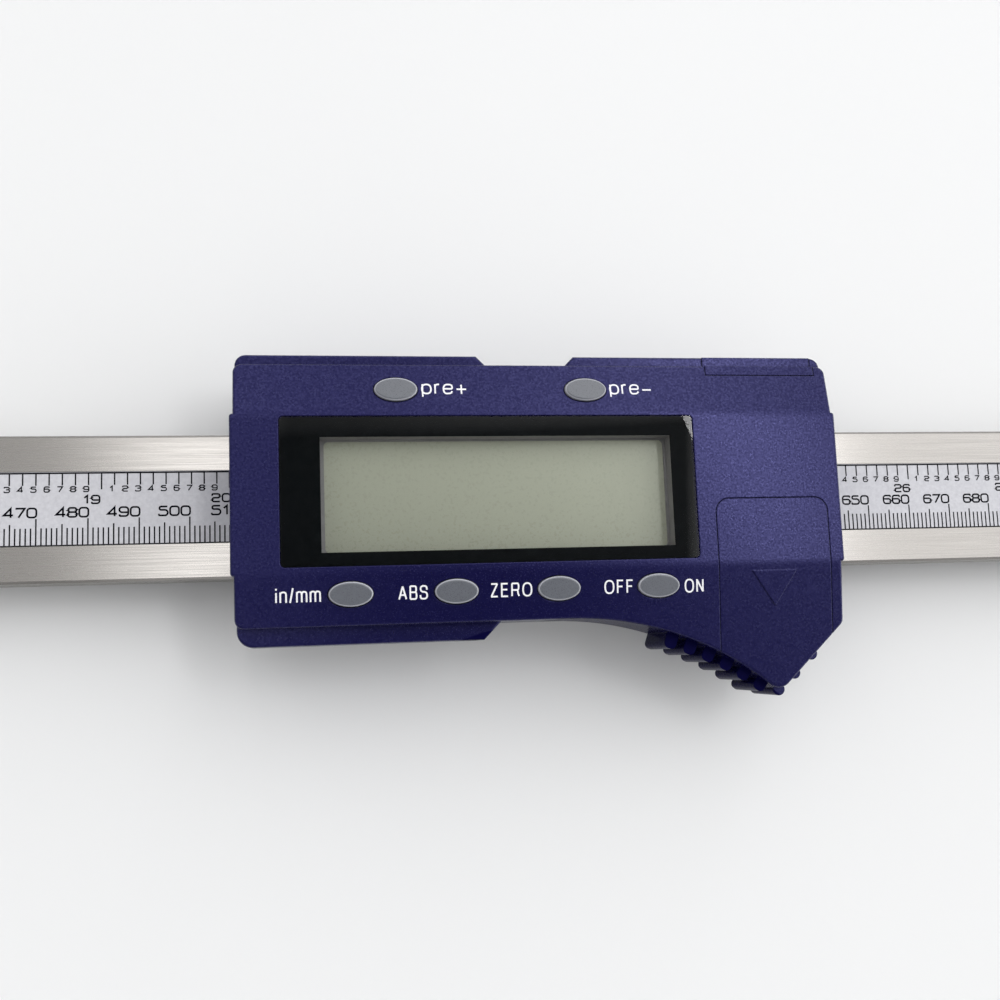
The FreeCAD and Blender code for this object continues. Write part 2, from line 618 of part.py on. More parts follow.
def upper_slope(edge, drop):
    """Front skin over the upper key strip, as points (Y, Z) from its edge to the flat band."""
    level = "band_height - %s" % drop
    return [
        (edge, "%s - (%s - band_top) * tan(strip_slope)" % (level, edge)),
        ("band_top + %s * cos(strip_slope)" % TANGENT, "%s - %s * sin(strip_slope)" % (level, TANGENT)),
        ("band_top - %s" % TANGENT, level),
    ]


def lower_slope(edge, drop):
    """Front skin over the lower key strip, as points (Y, Z) from the flat band to Y = -edge."""
    level = "band_height - %s" % drop
    return [
        ("-band_bottom + %s" % LOWER_TANGENT, level),
        ("-band_bottom - %s * cos(lower_strip_slope)" % LOWER_TANGENT,
         "%s - %s * sin(lower_strip_slope)" % (level, LOWER_TANGENT)),
        ("-(%s)" % edge, lower_level(edge) + " - " + drop),
    ]


def lower_level(edge):
    """Front of the lower key strip at Y = -edge."""
    return "band_height - (%s - band_bottom) * tan(lower_strip_slope)" % edge


def curve_height(along, offset):
    """Y of the grip's hollow curve, or of a curve inside or outside it, at a place along X."""
    return "%s + sqrt((grip_radius + %s)^2 - (%s - grip_start)^2)" % (GRIP_AXIS, offset, along)


# Frame: the beam with its strips and end feet
def make_beam():
    """Ground steel bar with a shallow groove for the strips and tapped holes for the feet."""
    body = new_body("beam", on_slider=False)
    half = BEAM_LENGTH + " / 2"
    section = new_sketch(body, "YZ", "-" + half)
    edge = "beam_width / 2"
    groove = "groove_width / 2"
    floor = "%s - stator_thick - film_thick" % STRIP_PLANE
    draw_outline(section, [
        ("-" + edge, "foot_thick"), (edge, "foot_thick"),
        (edge, STRIP_PLANE + " - beam_chamfer"), (edge + " - beam_chamfer", STRIP_PLANE),
        (groove, STRIP_PLANE), (groove, floor), ("-" + groove, floor), ("-" + groove, STRIP_PLANE),
        ("-%s + beam_chamfer" % edge, STRIP_PLANE), ("-" + edge, STRIP_PLANE + " - beam_chamfer"),
    ])
    add(body, section, BEAM_LENGTH)
    holes = new_sketch(body, "XY", "foot_thick")
    for x, y in foot_screw_places(-1) + foot_screw_places(1):
        draw_circle(holes, x, y, "foot_screw_shank / 2 + screw_play")
    cut(body, holes, "foot_screw_depth", forward=True)


def make_strips():
    """Stator strip in the groove, with the printed strip over it, level with the beam."""
    half = BEAM_LENGTH + " / 2"
    edge = "groove_width / 2 - strip_gap"
    seam = STRIP_PLANE + " - film_thick"
    block("stator_strip", "-" + half, half, "-(%s)" % edge, edge, "(%s - stator_thick)" % seam, seam, False)
    block("graduation_strip", "-" + half, half, "-(%s)" % edge, edge, "(%s)" % seam, STRIP_PLANE, False)


def foot_screw_places(end):
    """The two screws between a foot and its end of the beam."""
    along = "%d * (%s / 2 - foot_lap / 2)" % (end, BEAM_LENGTH)
    return [(along, "-foot_screw_spacing / 2"), (along, "foot_screw_spacing / 2")]


def make_foot(label, end):
    """Foot plate under one end of the beam, with a tab that carries two mounting holes."""
    body = new_body(label, on_slider=False)
    inner = "%d * (%s / 2 - foot_lap)" % (end, BEAM_LENGTH)
    outer = "%d * (%s / 2 + foot_tab)" % (end, BEAM_LENGTH)
    middle = "%d * (%s / 2 + foot_tab / 2)" % (end, BEAM_LENGTH)
    sketch = new_sketch(body, "XY", "0")
    draw_rectangle(sketch, inner, outer, "-foot_width / 2", "foot_width / 2")
    add(body, sketch, "foot_thick")
    corners = [(outer, "foot_width / 2"), (outer, "-foot_width / 2")]
    dress(body, "Fillet", "Radius", "foot_corner", upright_at(corners))
    holes = new_sketch(body, "XY", "0")
    for side in (-1, 1):
        draw_circle(holes, middle, "%d * foot_hole_spacing / 2" % side, "foot_hole / 2")
    for x, y in foot_screw_places(end):
        draw_circle(holes, x, y, "foot_screw_shank / 2 + screw_play")
    cut(body, holes, "foot_thick", forward=True)
    seats = new_sketch(body, "XY", "0")
    for x, y in foot_screw_places(end):
        draw_circle(seats, x, y, "foot_screw_head / 2 + head_play")
    cut(body, seats, "foot_screw_seat", forward=True)


def make_foot_screws():
    """Screws that hold the two feet to the beam."""
    places = foot_screw_places(-1) + foot_screw_places(1)
    reach = "foot_thick - foot_screw_seat + foot_screw_depth - head_sink"
    screws("foot_screws", places, "foot_screw_seat", "foot_screw_head", "(foot_screw_seat - head_sink)",
           "foot_screw_shank", reach, on_slider=False)


# Slider: the steel carriage and what closes it
def make_carriage():
    """Channel over the front of the beam, with a wider gap above the beam for the gib strip."""
    body = new_body("carriage")
    section = new_sketch(body, "YZ", "carriage_inset")
    draw_outline(section, [
        ("-carriage_half", FLANGE_BACK), ("-" + LOWER_FLANGE, FLANGE_BACK),
        ("-" + LOWER_FLANGE, WEB_BACK), (UPPER_FLANGE, WEB_BACK),
        (UPPER_FLANGE, FLANGE_BACK), ("carriage_half", FLANGE_BACK),
        ("carriage_half", WEB_FRONT), ("-carriage_half", WEB_FRONT),
    ])
    add(body, section, CARRIAGE_LENGTH)
    slot = new_sketch(body, "XY", WEB_FRONT)
    draw_rectangle(slot, "header_place - header_length / 2 - header_slot_gap",
                   "header_place + header_length / 2 + header_slot_gap",
                   "-header_width / 2 - header_slot_gap", "header_width / 2 + header_slot_gap")
    cut(body, slot, "web_thick")
    for places, radius, depth in (
            (PLATE_SCREWS, "plate_screw / 2 + screw_play", "plate_screw_bite"),
            (MOUNT_HOLES, "mount_relief / 2", "mount_depth"),
            (COVER_BOSSES, "cover_screw / 2 + screw_play", "%s - %s" % (WEB_FRONT, FLANGE_BACK)),
            (COVER_BOSSES, "cover_screw_head / 2 + head_play", "cover_screw_seat")):
        holes = new_sketch(body, "XY", FLANGE_BACK)
        for x, y in places:
            draw_circle(holes, x, y, radius)
        cut(body, holes, depth, forward=True)
    gib_holes = new_sketch(body, "XZ", "-carriage_half")
    for side in (-1, 1):
        draw_circle(gib_holes, "%s + %d * gib_screw_offset" % (MIDDLE, side), "-beam_thick / 2",
                    "gib_screw / 2 + screw_play")
    cut(body, gib_holes, "carriage_half - %s" % UPPER_FLANGE, forward=True)


def make_gib():
    """Brass strip between the beam and the upper flange, pressed by two set screws."""
    left = "carriage_inset + gib_short"
    bottom = "beam_width / 2 + running_gap"
    block("gib_strip", left, "tab_length - carriage_inset - gib_short", bottom, bottom + " + gib_thick",
          "(-beam_thick + gib_edge)", "-gib_edge")
    members = []
    for side in (-1, 1):
        along = "%s + %d * gib_screw_offset" % (MIDDLE, side)
        start = UPPER_FLANGE
        screw = cylinder(along, start, "-beam_thick / 2", "gib_screw / 2",
                         "carriage_half + gib_screw_proud - %s" % start)
        base = screw.Placement.Base
        screw.Placement = FreeCAD.Placement(base, FreeCAD.Rotation(FreeCAD.Vector(1, 0, 0), -90))
        members.append(screw)
    group("gib_screws", members)


def make_back_plate():
    """Plate behind the beam that closes the carriage and carries the slider's mounting holes."""
    body = new_body("back_plate")
    sketch = new_sketch(body, "XY", PLATE_BACK)
    right = "(tab_length - carriage_inset)"
    draw_rectangle(sketch, "carriage_inset", right, "-carriage_half", "carriage_half")
    add(body, sketch, "plate_thick")
    corners = [(x, y) for x in ("carriage_inset", right) for y in ("-carriage_half", "carriage_half")]
    dress(body, "Fillet", "Radius", "plate_corner", upright_at(corners))
    for places, radius, depth in (
            (PLATE_SCREWS, "plate_screw / 2 + screw_play", "plate_thick"),
            (MOUNT_HOLES, "mount_hole / 2", "plate_thick"),
            (PLATE_SCREWS, "plate_screw_head / 2 + head_play", "plate_screw_seat")):
        holes = new_sketch(body, "XY", PLATE_BACK)
        for x, y in places:
            draw_circle(holes, x, y, radius)
        cut(body, holes, depth, forward=True)


def make_carriage_screws():
    """Screws of the back plate, and the long screws through the flanges into the front cover."""
    screws("back_plate_screws", PLATE_SCREWS, "(%s + plate_screw_seat)" % PLATE_BACK, "plate_screw_head",
           "(plate_screw_seat - head_sink)", "plate_screw",
           "plate_thick - plate_screw_seat + plate_screw_bite - head_sink")
    seat = "(%s + cover_screw_seat)" % FLANGE_BACK
    screws("cover_screws", COVER_BOSSES, seat, "cover_screw_head", "cover_screw_flat", "cover_screw",
           "%s - %s + cover_screw_bite" % (WEB_FRONT, seat))


# Slider: the moulded front cover
def grip_outline(left, right_side):
    """Points of the front outline along the grip, from its start to the housing's right end."""
    return [(left, "-front_bottom"), ("grip_tip", TIP), (right_side, "-grip_flank")]


def make_front_cover():
    """Moulded housing: flat band between sloped key strips, end tabs, wings and a ribbed finger grip."""
    body = new_body("front_cover")
    raise_outer_form(body)
    add_ribs(body)
    hollow_out(body)
    add_bosses(body)
    open_display(body)
    open_keys(body)
    open_battery(body)
    open_data_port(body)


def raise_outer_form(body):
    """Outline of the front, end tabs, the slopes of the key strips and the three wings."""
    over = "band_height + " + SPARE
    outline = new_sketch(body, "XY", "-skirt_depth")
    draw_outline(outline, [
        (FRONT_LEFT, "-front_bottom"), *grip_outline("grip_start", FRONT_RIGHT),
        (FRONT_RIGHT, "front_top"), (FRONT_LEFT, "front_top"),
    ], {1: ("grip_radius", -1)})
    add(body, outline, over + " + skirt_depth")
    corners = [(FRONT_LEFT, "front_top"), (FRONT_RIGHT, "front_top"), (FRONT_LEFT, "-front_bottom"),
               (FRONT_RIGHT, "-grip_flank")]
    dress(body, "Fillet", "Radius", "front_corner", upright_at(corners))
    dress(body, "Fillet", "Radius", "grip_nose", upright_at([("grip_tip", TIP)]))
    tabs = new_sketch(body, "XY", "beam_clear")
    draw_rounded(tabs, "0", "tab_length", "-band_bottom", "band_top", "tab_corner")
    add(body, tabs, over + " - beam_clear")
    slopes = new_sketch(body, "YZ", "tab_length + " + SPARE)
    top = "band_height + 2 * " + SPARE
    upper_edge = "(wing_top + %s)" % SPARE
    lower_edge = "(grip_radius + %s)" % SPARE
    draw_outline(slopes, [
        *upper_slope(upper_edge, "0"), *lower_slope(lower_edge, "0"),
        ("-" + lower_edge, top), (upper_edge, top),
    ], {1: ("crease_radius", 1), 3: ("crease_radius", 1)})
    cut(body, slopes, "tab_length + 2 * " + SPARE)
    wings = new_sketch(body, "XY", "-skirt_depth")
    wing_left = "%s + wing_inset" % FRONT_LEFT
    wing_right = "%s - wing_inset" % FRONT_RIGHT
    root = "front_top - wall"
    run = "(wing_top - front_top + wall)"
    draw_outline(wings, [
        (wing_left, root), ("upper_wing_end + %s" % run, root),
        ("upper_wing_end", "wing_top"), (wing_left, "wing_top"),
    ])
    draw_outline(wings, [
        ("upper_wing_start - %s" % run, root), (wing_right, root),
        (wing_right, "wing_top"), ("upper_wing_start", "wing_top"),
    ])
    low_root = "-front_bottom + wall"
    low_run = "(wing_bottom - front_bottom + wall)"
    draw_outline(wings, [
        (wing_left, low_root), (wing_left, "-wing_bottom"),
        ("lower_wing_end", "-wing_bottom"), ("lower_wing_end + %s" % low_run, low_root),
    ])
    add(body, wings, "skirt_depth + wing_height")
    dress(body, "Fillet", "Radius", "wing_corner",
          upright_at([(wing_left, "wing_top"), (wing_right, "wing_top")]))
    dress(body, "Fillet", "Radius", "lower_wing_corner", upright_at([(wing_left, "-wing_bottom")]))
    doc.recompute()
    dress(body, "Fillet", "Radius", "edge_round", front_rims(body.Tip.Shape))


def add_ribs(body):
    """Bars behind the front lip along the hollow curve, and round ribs at the tip and up the flank."""
    def raise_rib(rib, y):
        add(body, rib, "%s - rib_lip + skirt_depth" % lower_level("(-(%s))" % y))

    for number in range(RIBS_ON_CURVE):
        angle = "((rib_first + %d * rib_pitch) / grip_radius * 180 / pi)" % number
        root = "(grip_radius + wall / 2)"
        end = "(grip_radius - rib_stand + %d * rib_fall - rib_radius)" % number
        shoulder = "(%s + rib_corner)" % end
        half = "rib_radius"
        flat = "(rib_radius - rib_corner)"
        profile = [(root, "-" + half), (shoulder, "-" + half), (end, "-" + flat),
                   (end, flat), (shoulder, half), (root, half)]
        rib = new_sketch(body, "XY", "-skirt_depth")
        draw_outline(rib, [
            ("grip_start + %s * sin(%s) + (%s) * cos(%s)" % (out, angle, across, angle),
             "%s + %s * cos(%s) - (%s) * sin(%s)" % (GRIP_AXIS, out, angle, across, angle))
            for out, across in profile
        ], {1: ("rib_corner", 1), 3: ("rib_corner", 1)})
        raise_rib(rib, "%s + %s * cos(%s)" % (GRIP_AXIS, shoulder, angle))
    run = "(%s - grip_tip)" % FRONT_RIGHT
    rise = "(-grip_flank - %s)" % TIP
    flank = "sqrt(%s^2 + %s^2)" % (run, rise)
    places = [("grip_tip + tip_rib_inset", "%s + tip_rib_inset" % TIP)]
    for number in range(RIBS_ON_FLANK):
        along = "(flank_rib_first + %d * flank_rib_pitch)" % number
        places.append(("grip_tip + (%s * %s + flank_rib_stand * %s) / %s" % (along, run, rise, flank),
                       "%s + (%s * %s - flank_rib_stand * %s) / %s" % (TIP, along, rise, run, flank)))
    for x, y in places:
        rib = new_sketch(body, "XY", "-skirt_depth")
        draw_circle(rib, x, y, "rib_radius")
        raise_rib(rib, y)


def hollow_out(body):
    """Room behind the front wall: for the boards, under the battery tray, in the wings and for the beam."""
    below = "-skirt_depth - " + SPARE
    top = "front_top - wall"
    bottom = "-front_bottom + wall"
    left = "%s + wall" % FRONT_LEFT
    right = "%s - wall" % FRONT_RIGHT

    def hollow(ceiling, points, arcs=None):
        sketch = new_sketch(body, "XY", below)
        draw_outline(sketch, points, arcs)
        cut(body, sketch, "%s + skirt_depth + %s" % (ceiling, SPARE), forward=True)

    hollow(CEILING, [(left, bottom), (TRAY_LEFT, bottom), (TRAY_LEFT, TRAY_TOP), (right, TRAY_TOP),
                     (right, top), (left, top)])
    hollow(TRAY_CEILING, [
        (TRAY_LEFT, curve_height(TRAY_LEFT, "wall")), ("grip_tip", curve_height("grip_tip", "wall")),
        (right, "-grip_flank + wall"), (right, TRAY_TOP), (TRAY_LEFT, TRAY_TOP),
    ], {0: ("grip_radius + wall", -1)})
    wing_ceiling = "wing_height - wall"
    wing_left = "%s + wing_inset + wall" % FRONT_LEFT
    hollow(wing_ceiling, [(wing_left, top + " - wall"), ("upper_wing_end - wall", top + " - wall"),
                          ("upper_wing_end - wall", "wing_top - wall"), (wing_left, "wing_top - wall")])
    low_wall = "-wing_bottom + wall"
    hollow(wing_ceiling, [(wing_left, bottom + " + wall"), ("lower_wing_end - wall", bottom + " + wall"),
                          ("lower_wing_end - wall", low_wall), (wing_left, low_wall)])
    notch = new_sketch(body, "YZ", "tab_length + " + SPARE)
    half = "beam_width / 2 + beam_clear"
    draw_rectangle(notch, "-" + half.replace("+", "-"), half, below, "beam_clear")
    cut(body, notch, "tab_length + 2 * " + SPARE)


def add_bosses(body):
    """Bosses for the screws from the carriage and for those of the main board."""
    for places, radius, foot, bite, pilot in (
            (COVER_BOSSES, "cover_boss / 2", WEB_FRONT, "cover_screw_bite", "cover_screw / 2"),
            (BOARD_BOSSES, "board_boss / 2", BOARD_FRONT, "board_screw_bite", "board_screw / 2")):
        bosses = new_sketch(body, "XY", foot)
        for x, y in places:
            draw_circle(bosses, x, y, radius)
        add(body, bosses, "%s - %s + boss_root" % (CEILING, foot))
        pilots = new_sketch(body, "XY", foot)
        for x, y in places:
            draw_circle(pilots, x, y, pilot + " + screw_play")
        cut(body, pilots, bite + " + screw_play", forward=True)


def draw_view(sketch, margin):
    """Draw the outline of the visible display, with a margin round it."""
    draw_rectangle(sketch, "view_left - (%s)" % margin, "view_right + %s" % margin,
                   "view_top - view_height - (%s)" % margin, "view_top + %s" % margin)


def open_display(body):
    """Recess for the window, opening for the display and room for its frame behind."""
    window_right = "window_left + window_width"
    window_bottom = "window_top - window_height"
    recess = new_sketch(body, "XY", "band_height + " + SPARE)
    draw_rounded(recess, "window_left", window_right, window_bottom, "window_top", "window_corner")
    cut(body, recess, "window_depth + " + SPARE)
    opening = new_sketch(body, "XY", WINDOW_FLOOR)
    draw_view(opening, "frame_collar + frame_play")
    cut(body, opening, "window_shelf")
    room = new_sketch(body, "XY", BOARD_FRONT)
    draw_view(room, "panel_margin + %s + frame_play" % FRAME_EDGE)
    cut(body, room, "%s - %s" % (DISPLAY_CEILING, BOARD_FRONT), forward=True)


def open_keys(body):
    """Oval openings for the keys in the sloped strips."""
    openings = new_sketch(body, "XY", "band_height + " + SPARE)
    for label, along, side in KEYS:
        draw_oval(openings, along, key_row(side), "key_length + 2 * key_gap", "key_width + 2 * key_gap")
    cut(body, openings, "band_height + %s - %s" % (SPARE, CEILING))


def open_battery(body):
    """Sliding bed of the battery cover, the coin cell's well and slots for its contacts."""
    bed = new_sketch(body, "YZ", "lid_right")
    far = "(grip_radius + %s)" % SPARE
    over = "band_height + " + SPARE
    drop = "(lid_thick + lid_gap)"
    draw_outline(bed, [
        ("-lid_top", over), ("-lid_top", "band_height - " + drop), *lower_slope(far, drop), ("-" + far, over),
    ], {2: ("crease_radius", 1)})
    cut(body, bed, "lid_right - lid_left")
    corners = [("lid_left", "-lid_top"), ("lid_right", "-lid_top")]
    dress(body, "Fillet", "Radius", "lid_corner", upright_at(corners))
    well = new_sketch(body, "XY", over)
    draw_circle(well, "cell_place", "-cell_row", "cell_radius + cell_gap")
    cut(body, well, "%s - %s" % (over, BOARD_FRONT))
    half = "(contact_width / 2 + contact_gap)"
    feet = new_sketch(body, "XY", "%s + contact_thick + contact_gap" % BOARD_FRONT)
    draw_rectangle(feet, "cell_place - " + half, "cell_place + " + half,
                   "-cell_row + cell_radius - contact_lap", "%s + wall" % TRAY_TOP)
    draw_rectangle(feet, "%s - wall" % TRAY_LEFT, "cell_place - cell_radius + contact_lap",
                   "-cell_row - " + half, "-cell_row + " + half)
    cut(body, feet, "contact_thick + contact_gap")
    leaf = new_sketch(body, "XY", over)
    draw_rectangle(leaf, "cell_place - " + half, "cell_place + " + half, "-cell_row",
                   "-cell_row + cell_radius + cell_gap + contact_thick")
    cut(body, leaf, "%s - %s" % (over, BOARD_FRONT))


def flap_section(gap):
    """Section of the data port cover: over the front strip, down the step and over the wing."""
    level = "(band_height - (flap_edge - band_top) * tan(strip_slope))"
    return [
        ("flap_edge - " + gap, level + " - flap_thick - " + gap),
        ("flap_edge + flap_thick / 2", level + " - flap_thick - " + gap),
        ("flap_edge + flap_thick / 2", "wing_height - flap_thick - " + gap),
        ("wing_top - flap_thick - " + gap, "wing_height - flap_thick - " + gap),
        ("wing_top - flap_thick - " + gap, "flap_foot - " + gap),
    ]


def open_data_port(body):
    """Notch for the data port cover and the slot to the contacts behind it."""
    over = "band_height + " + SPARE
    outside = "wing_top + " + SPARE
    notch = new_sketch(body, "YZ", "flap_right")
    draw_outline(notch, [
        *flap_section("flap_gap"), (outside, "flap_foot - flap_gap"), (outside, over),
        ("flap_edge - flap_gap", over),
    ])
    cut(body, notch, "flap_right - flap_left")
    port = new_sketch(body, "XZ", "-wing_top")
    draw_rectangle(port, "%s - port_width / 2" % PORT_PLACE, "%s + port_width / 2" % PORT_PLACE,
                   "%s - port_floor" % BOARD_FRONT, "%s - port_floor + port_height" % BOARD_FRONT)
    cut(body, port, "wing_top - front_top + 2 * wall", forward=True)


# Slider: display and keys
def make_display():
    """Window with its black border film, display panel, the frame that holds it and its contact strip."""
    right = "window_left + window_width - window_gap"
    bottom = "window_top - window_height + window_gap"
    left = "window_left + window_gap"
    top = "window_top - window_gap"
    seam = "(%s + mask_thick)" % WINDOW_FLOOR
    corners = [(x, y) for x in (left, right) for y in (bottom, top)]
    rounding = "window_corner - window_gap"
    window = block("display_window", left, right, bottom, top, seam, "(band_height - window_sink)")
    dress(window, "Fillet", "Radius", rounding, upright_at(corners))
    mask = block("window_mask", left, right, bottom, top, WINDOW_FLOOR, seam)
    dress(mask, "Fillet", "Radius", rounding, upright_at(corners))
    view = new_sketch(mask, "XY", seam)
    draw_view(view, "0")
    cut(mask, view, "mask_thick")
    block("lcd_panel", PANEL_LEFT, PANEL_RIGHT, PANEL_BOTTOM, PANEL_TOP, PANEL_BACK, PANEL_FRONT)
    make_display_frame()
    members = []
    for edge in ("%s + zebra_inset" % PANEL_BOTTOM, "%s - zebra_inset - zebra_width" % PANEL_TOP):
        members.append(bar("%s + zebra_inset" % PANEL_LEFT, edge, BOARD_FRONT,
                           "%s - %s - 2 * zebra_inset" % (PANEL_RIGHT, PANEL_LEFT), "zebra_width",
                           "%s - %s" % (PANEL_BACK, BOARD_FRONT)))
    group("zebra_strip", members)


def make_display_frame():
    """Frame that stands on the board, holds the panel behind a lip and reaches up to the black border."""
    frame = new_body("lcd_frame")
    outer = new_sketch(frame, "XY", BOARD_FRONT)
    draw_view(outer, "panel_margin + %s" % FRAME_EDGE)
    add(frame, outer, "%s - frame_play - %s" % (DISPLAY_CEILING, BOARD_FRONT))
    collar = new_sketch(frame, "XY", "%s - frame_play" % DISPLAY_CEILING)
    draw_view(collar, "frame_collar")
    add(frame, collar, "window_shelf")
    ledge = "%s + frame_lip_thick" % PANEL_FRONT
    well = new_sketch(frame, "XY", WINDOW_FLOOR)
    draw_view(well, "0")
    cut(frame, well, "%s - (%s)" % (WINDOW_FLOOR, ledge))
    opening = new_sketch(frame, "XY", ledge)
    draw_rounded(opening, "view_left + frame_lip_left", "view_right - frame_lip_right",
                 "view_top - view_height + frame_lip_bottom", "view_top - frame_lip_top", "frame_lip_corner")
    cut(frame, opening, "frame_lip_thick")
    seat = new_sketch(frame, "XY", BOARD_FRONT)
    draw_view(seat, "panel_margin + panel_gap")
    cut(frame, seat, "%s - %s" % (PANEL_FRONT, BOARD_FRONT), forward=True)


def key_row(side):
    """Y of the keys on the upper or the lower strip."""
    return "upper_key_row" if side > 0 else "-lower_key_row"


def make_key(label, along, side):
    """Oval key with a rounded top that follows its strip, and a collar behind the housing's wall."""
    body = new_body(label)
    row = key_row(side)
    foot = "(%s + dome_height + key_travel + key_play)" % BOARD_FRONT
    stem = new_sketch(body, "XY", foot)
    draw_oval(stem, along, row, "key_length", "key_width")
    add(body, stem, "band_height + key_proud - %s" % foot)
    edge, line, slope = ("band_top", "upper_key_row", "strip_slope")
    if side < 0:
        edge, line, slope = ("band_bottom", "lower_key_row", "lower_strip_slope")
    far = "(%s + key_length)" % line
    over = "band_height + key_proud + " + SPARE
    level = "band_height + key_proud"
    top = new_sketch(body, "YZ", "%s + key_length" % along)
    draw_outline(top, [
        ("%d * (%s)" % (side, edge), level),
        ("%d * (%s)" % (side, far), "%s - (%s - %s) * tan(%s)" % (level, far, edge, slope)),
        ("%d * (%s)" % (side, far), over), ("%d * (%s)" % (side, edge), over),
    ])
    cut(body, top, "2 * key_length")
    rim = size("%s - (%s + key_width - %s) * tan(%s)" % (level, line, edge, slope))
    dress(body, "Fillet", "Radius", "key_round", lambda e: e.BoundBox.ZMin > rim and e.BoundBox.XLength > 1)
    collar = new_sketch(body, "XY", "%s - key_play - key_collar" % CEILING)
    draw_oval(collar, along, row, "key_length + 2 * key_collar", "key_width + 2 * key_collar")
    add(body, collar, "key_collar")


def make_domes():
    """Snap domes on the main board, one under each key."""
    members = []
    for label, along, side in KEYS:
        dome = doc.addObject("Part::Cone", "dome")
        bind(dome, "Radius1", "dome_radius")
        bind(dome, "Radius2", "dome_crown")
        bind(dome, "Height", "dome_height")
        for axis, text in zip("xyz", (along, key_row(side), BOARD_FRONT)):
            bind(dome, ".Placement.Base." + axis, text)
        members.append(dome)
    group("key_domes", members)


# Slider: electronics
def make_boards():
    """Main board behind the display, sensor board behind the web, and the connector between them."""
    board = new_body("main_board")
    sketch = new_sketch(board, "XY", "board_height")
    notch = "cover_boss_low - cover_boss / 2 - contact_gap"
    step = "-hole_line + cover_boss / 2 + contact_gap"
    draw_outline(sketch, [
        (BOARD_LEFT, BOARD_BOTTOM), (notch, BOARD_BOTTOM), (notch, step), (BOARD_RIGHT, step),
        (BOARD_RIGHT, EXTENSION_BOTTOM), (EXTENSION_RIGHT, EXTENSION_BOTTOM),
        (EXTENSION_RIGHT, DATA_EDGE), ("flap_left", DATA_EDGE), ("flap_left", BOARD_TOP),
        (BOARD_LEFT, BOARD_TOP),
    ])
    add(board, sketch, "board_thick")
    holes = new_sketch(board, "XY", BOARD_FRONT)
    for x, y in BOARD_BOSSES:
        draw_circle(holes, x, y, "board_screw / 2 + contact_gap")
    cut(board, holes, "board_thick")
    screws("board_screws", BOARD_BOSSES, "board_height", "board_screw_head", "board_screw_flat",
           "board_screw", "board_thick + board_screw_bite")
    block("sensor_board", "%s - sensor_length / 2" % MIDDLE, "%s + sensor_length / 2" % MIDDLE,
          "-sensor_width / 2", "sensor_width / 2", "sensor_gap", WEB_BACK)
    block("board_connector", "header_place - header_length / 2", "header_place + header_length / 2",
          "-header_width / 2", "header_width / 2", WEB_BACK, "board_height")
    block("controller_chip", "chip_place - chip_side / 2", "chip_place + chip_side / 2",
          "-chip_side / 2", "chip_side / 2", "(board_height - chip_thick)", "board_height")
    pads = []
    for number in range(DATA_PADS):
        centre = "%s + (%d - (%d - 1) / 2) * pad_pitch" % (PORT_PLACE, number, DATA_PADS)
        pads.append(bar(centre + " - pad_width / 2", DATA_EDGE + " - pad_length", BOARD_FRONT,
                        "pad_width", "pad_length", "pad_thick"))
    group("data_contacts", pads)


def make_battery():
    """Coin cell with its stepped can, a spring contact under it and a leaf contact at its rim."""
    cell = new_body("coin_cell")
    can = new_sketch(cell, "XY", CELL_BACK)
    draw_circle(can, "cell_place", "-cell_row", "cell_radius - 2 * cell_step")
    add(cell, can, "cell_thick")
    rim = new_sketch(cell, "XY", CELL_BACK + " + cell_step")
    draw_circle(rim, "cell_place", "-cell_row", "cell_radius")
    add(cell, rim, "cell_thick - cell_step")
    half = "contact_width / 2"
    negative = block("battery_contact_negative", "%s - contact_lap" % BOARD_RIGHT, "cell_place + " + half,
                     "-cell_row - " + half, "-cell_row + " + half,
                     BOARD_FRONT, "(%s + contact_thick)" % BOARD_FRONT)
    bump = new_sketch(negative, "XY", "%s + contact_thick" % BOARD_FRONT)
    draw_circle(bump, "cell_place", "-cell_row", "contact_bump")
    add(negative, bump, "contact_spring")
    positive = new_body("battery_contact_positive")
    section = new_sketch(positive, "YZ", "cell_place - " + half)
    rim_line = "-cell_row + cell_radius"
    draw_outline(section, [
        (rim_line, BOARD_FRONT), ("%s + contact_lap" % EXTENSION_BOTTOM, BOARD_FRONT),
        ("%s + contact_lap" % EXTENSION_BOTTOM, "%s + contact_thick" % BOARD_FRONT),
        (rim_line + " + contact_thick", "%s + contact_thick" % BOARD_FRONT),
        (rim_line + " + contact_thick", CELL_BACK + " + cell_thick"), (rim_line, CELL_BACK + " + cell_thick"),
    ])
    add(positive, section, "contact_width")


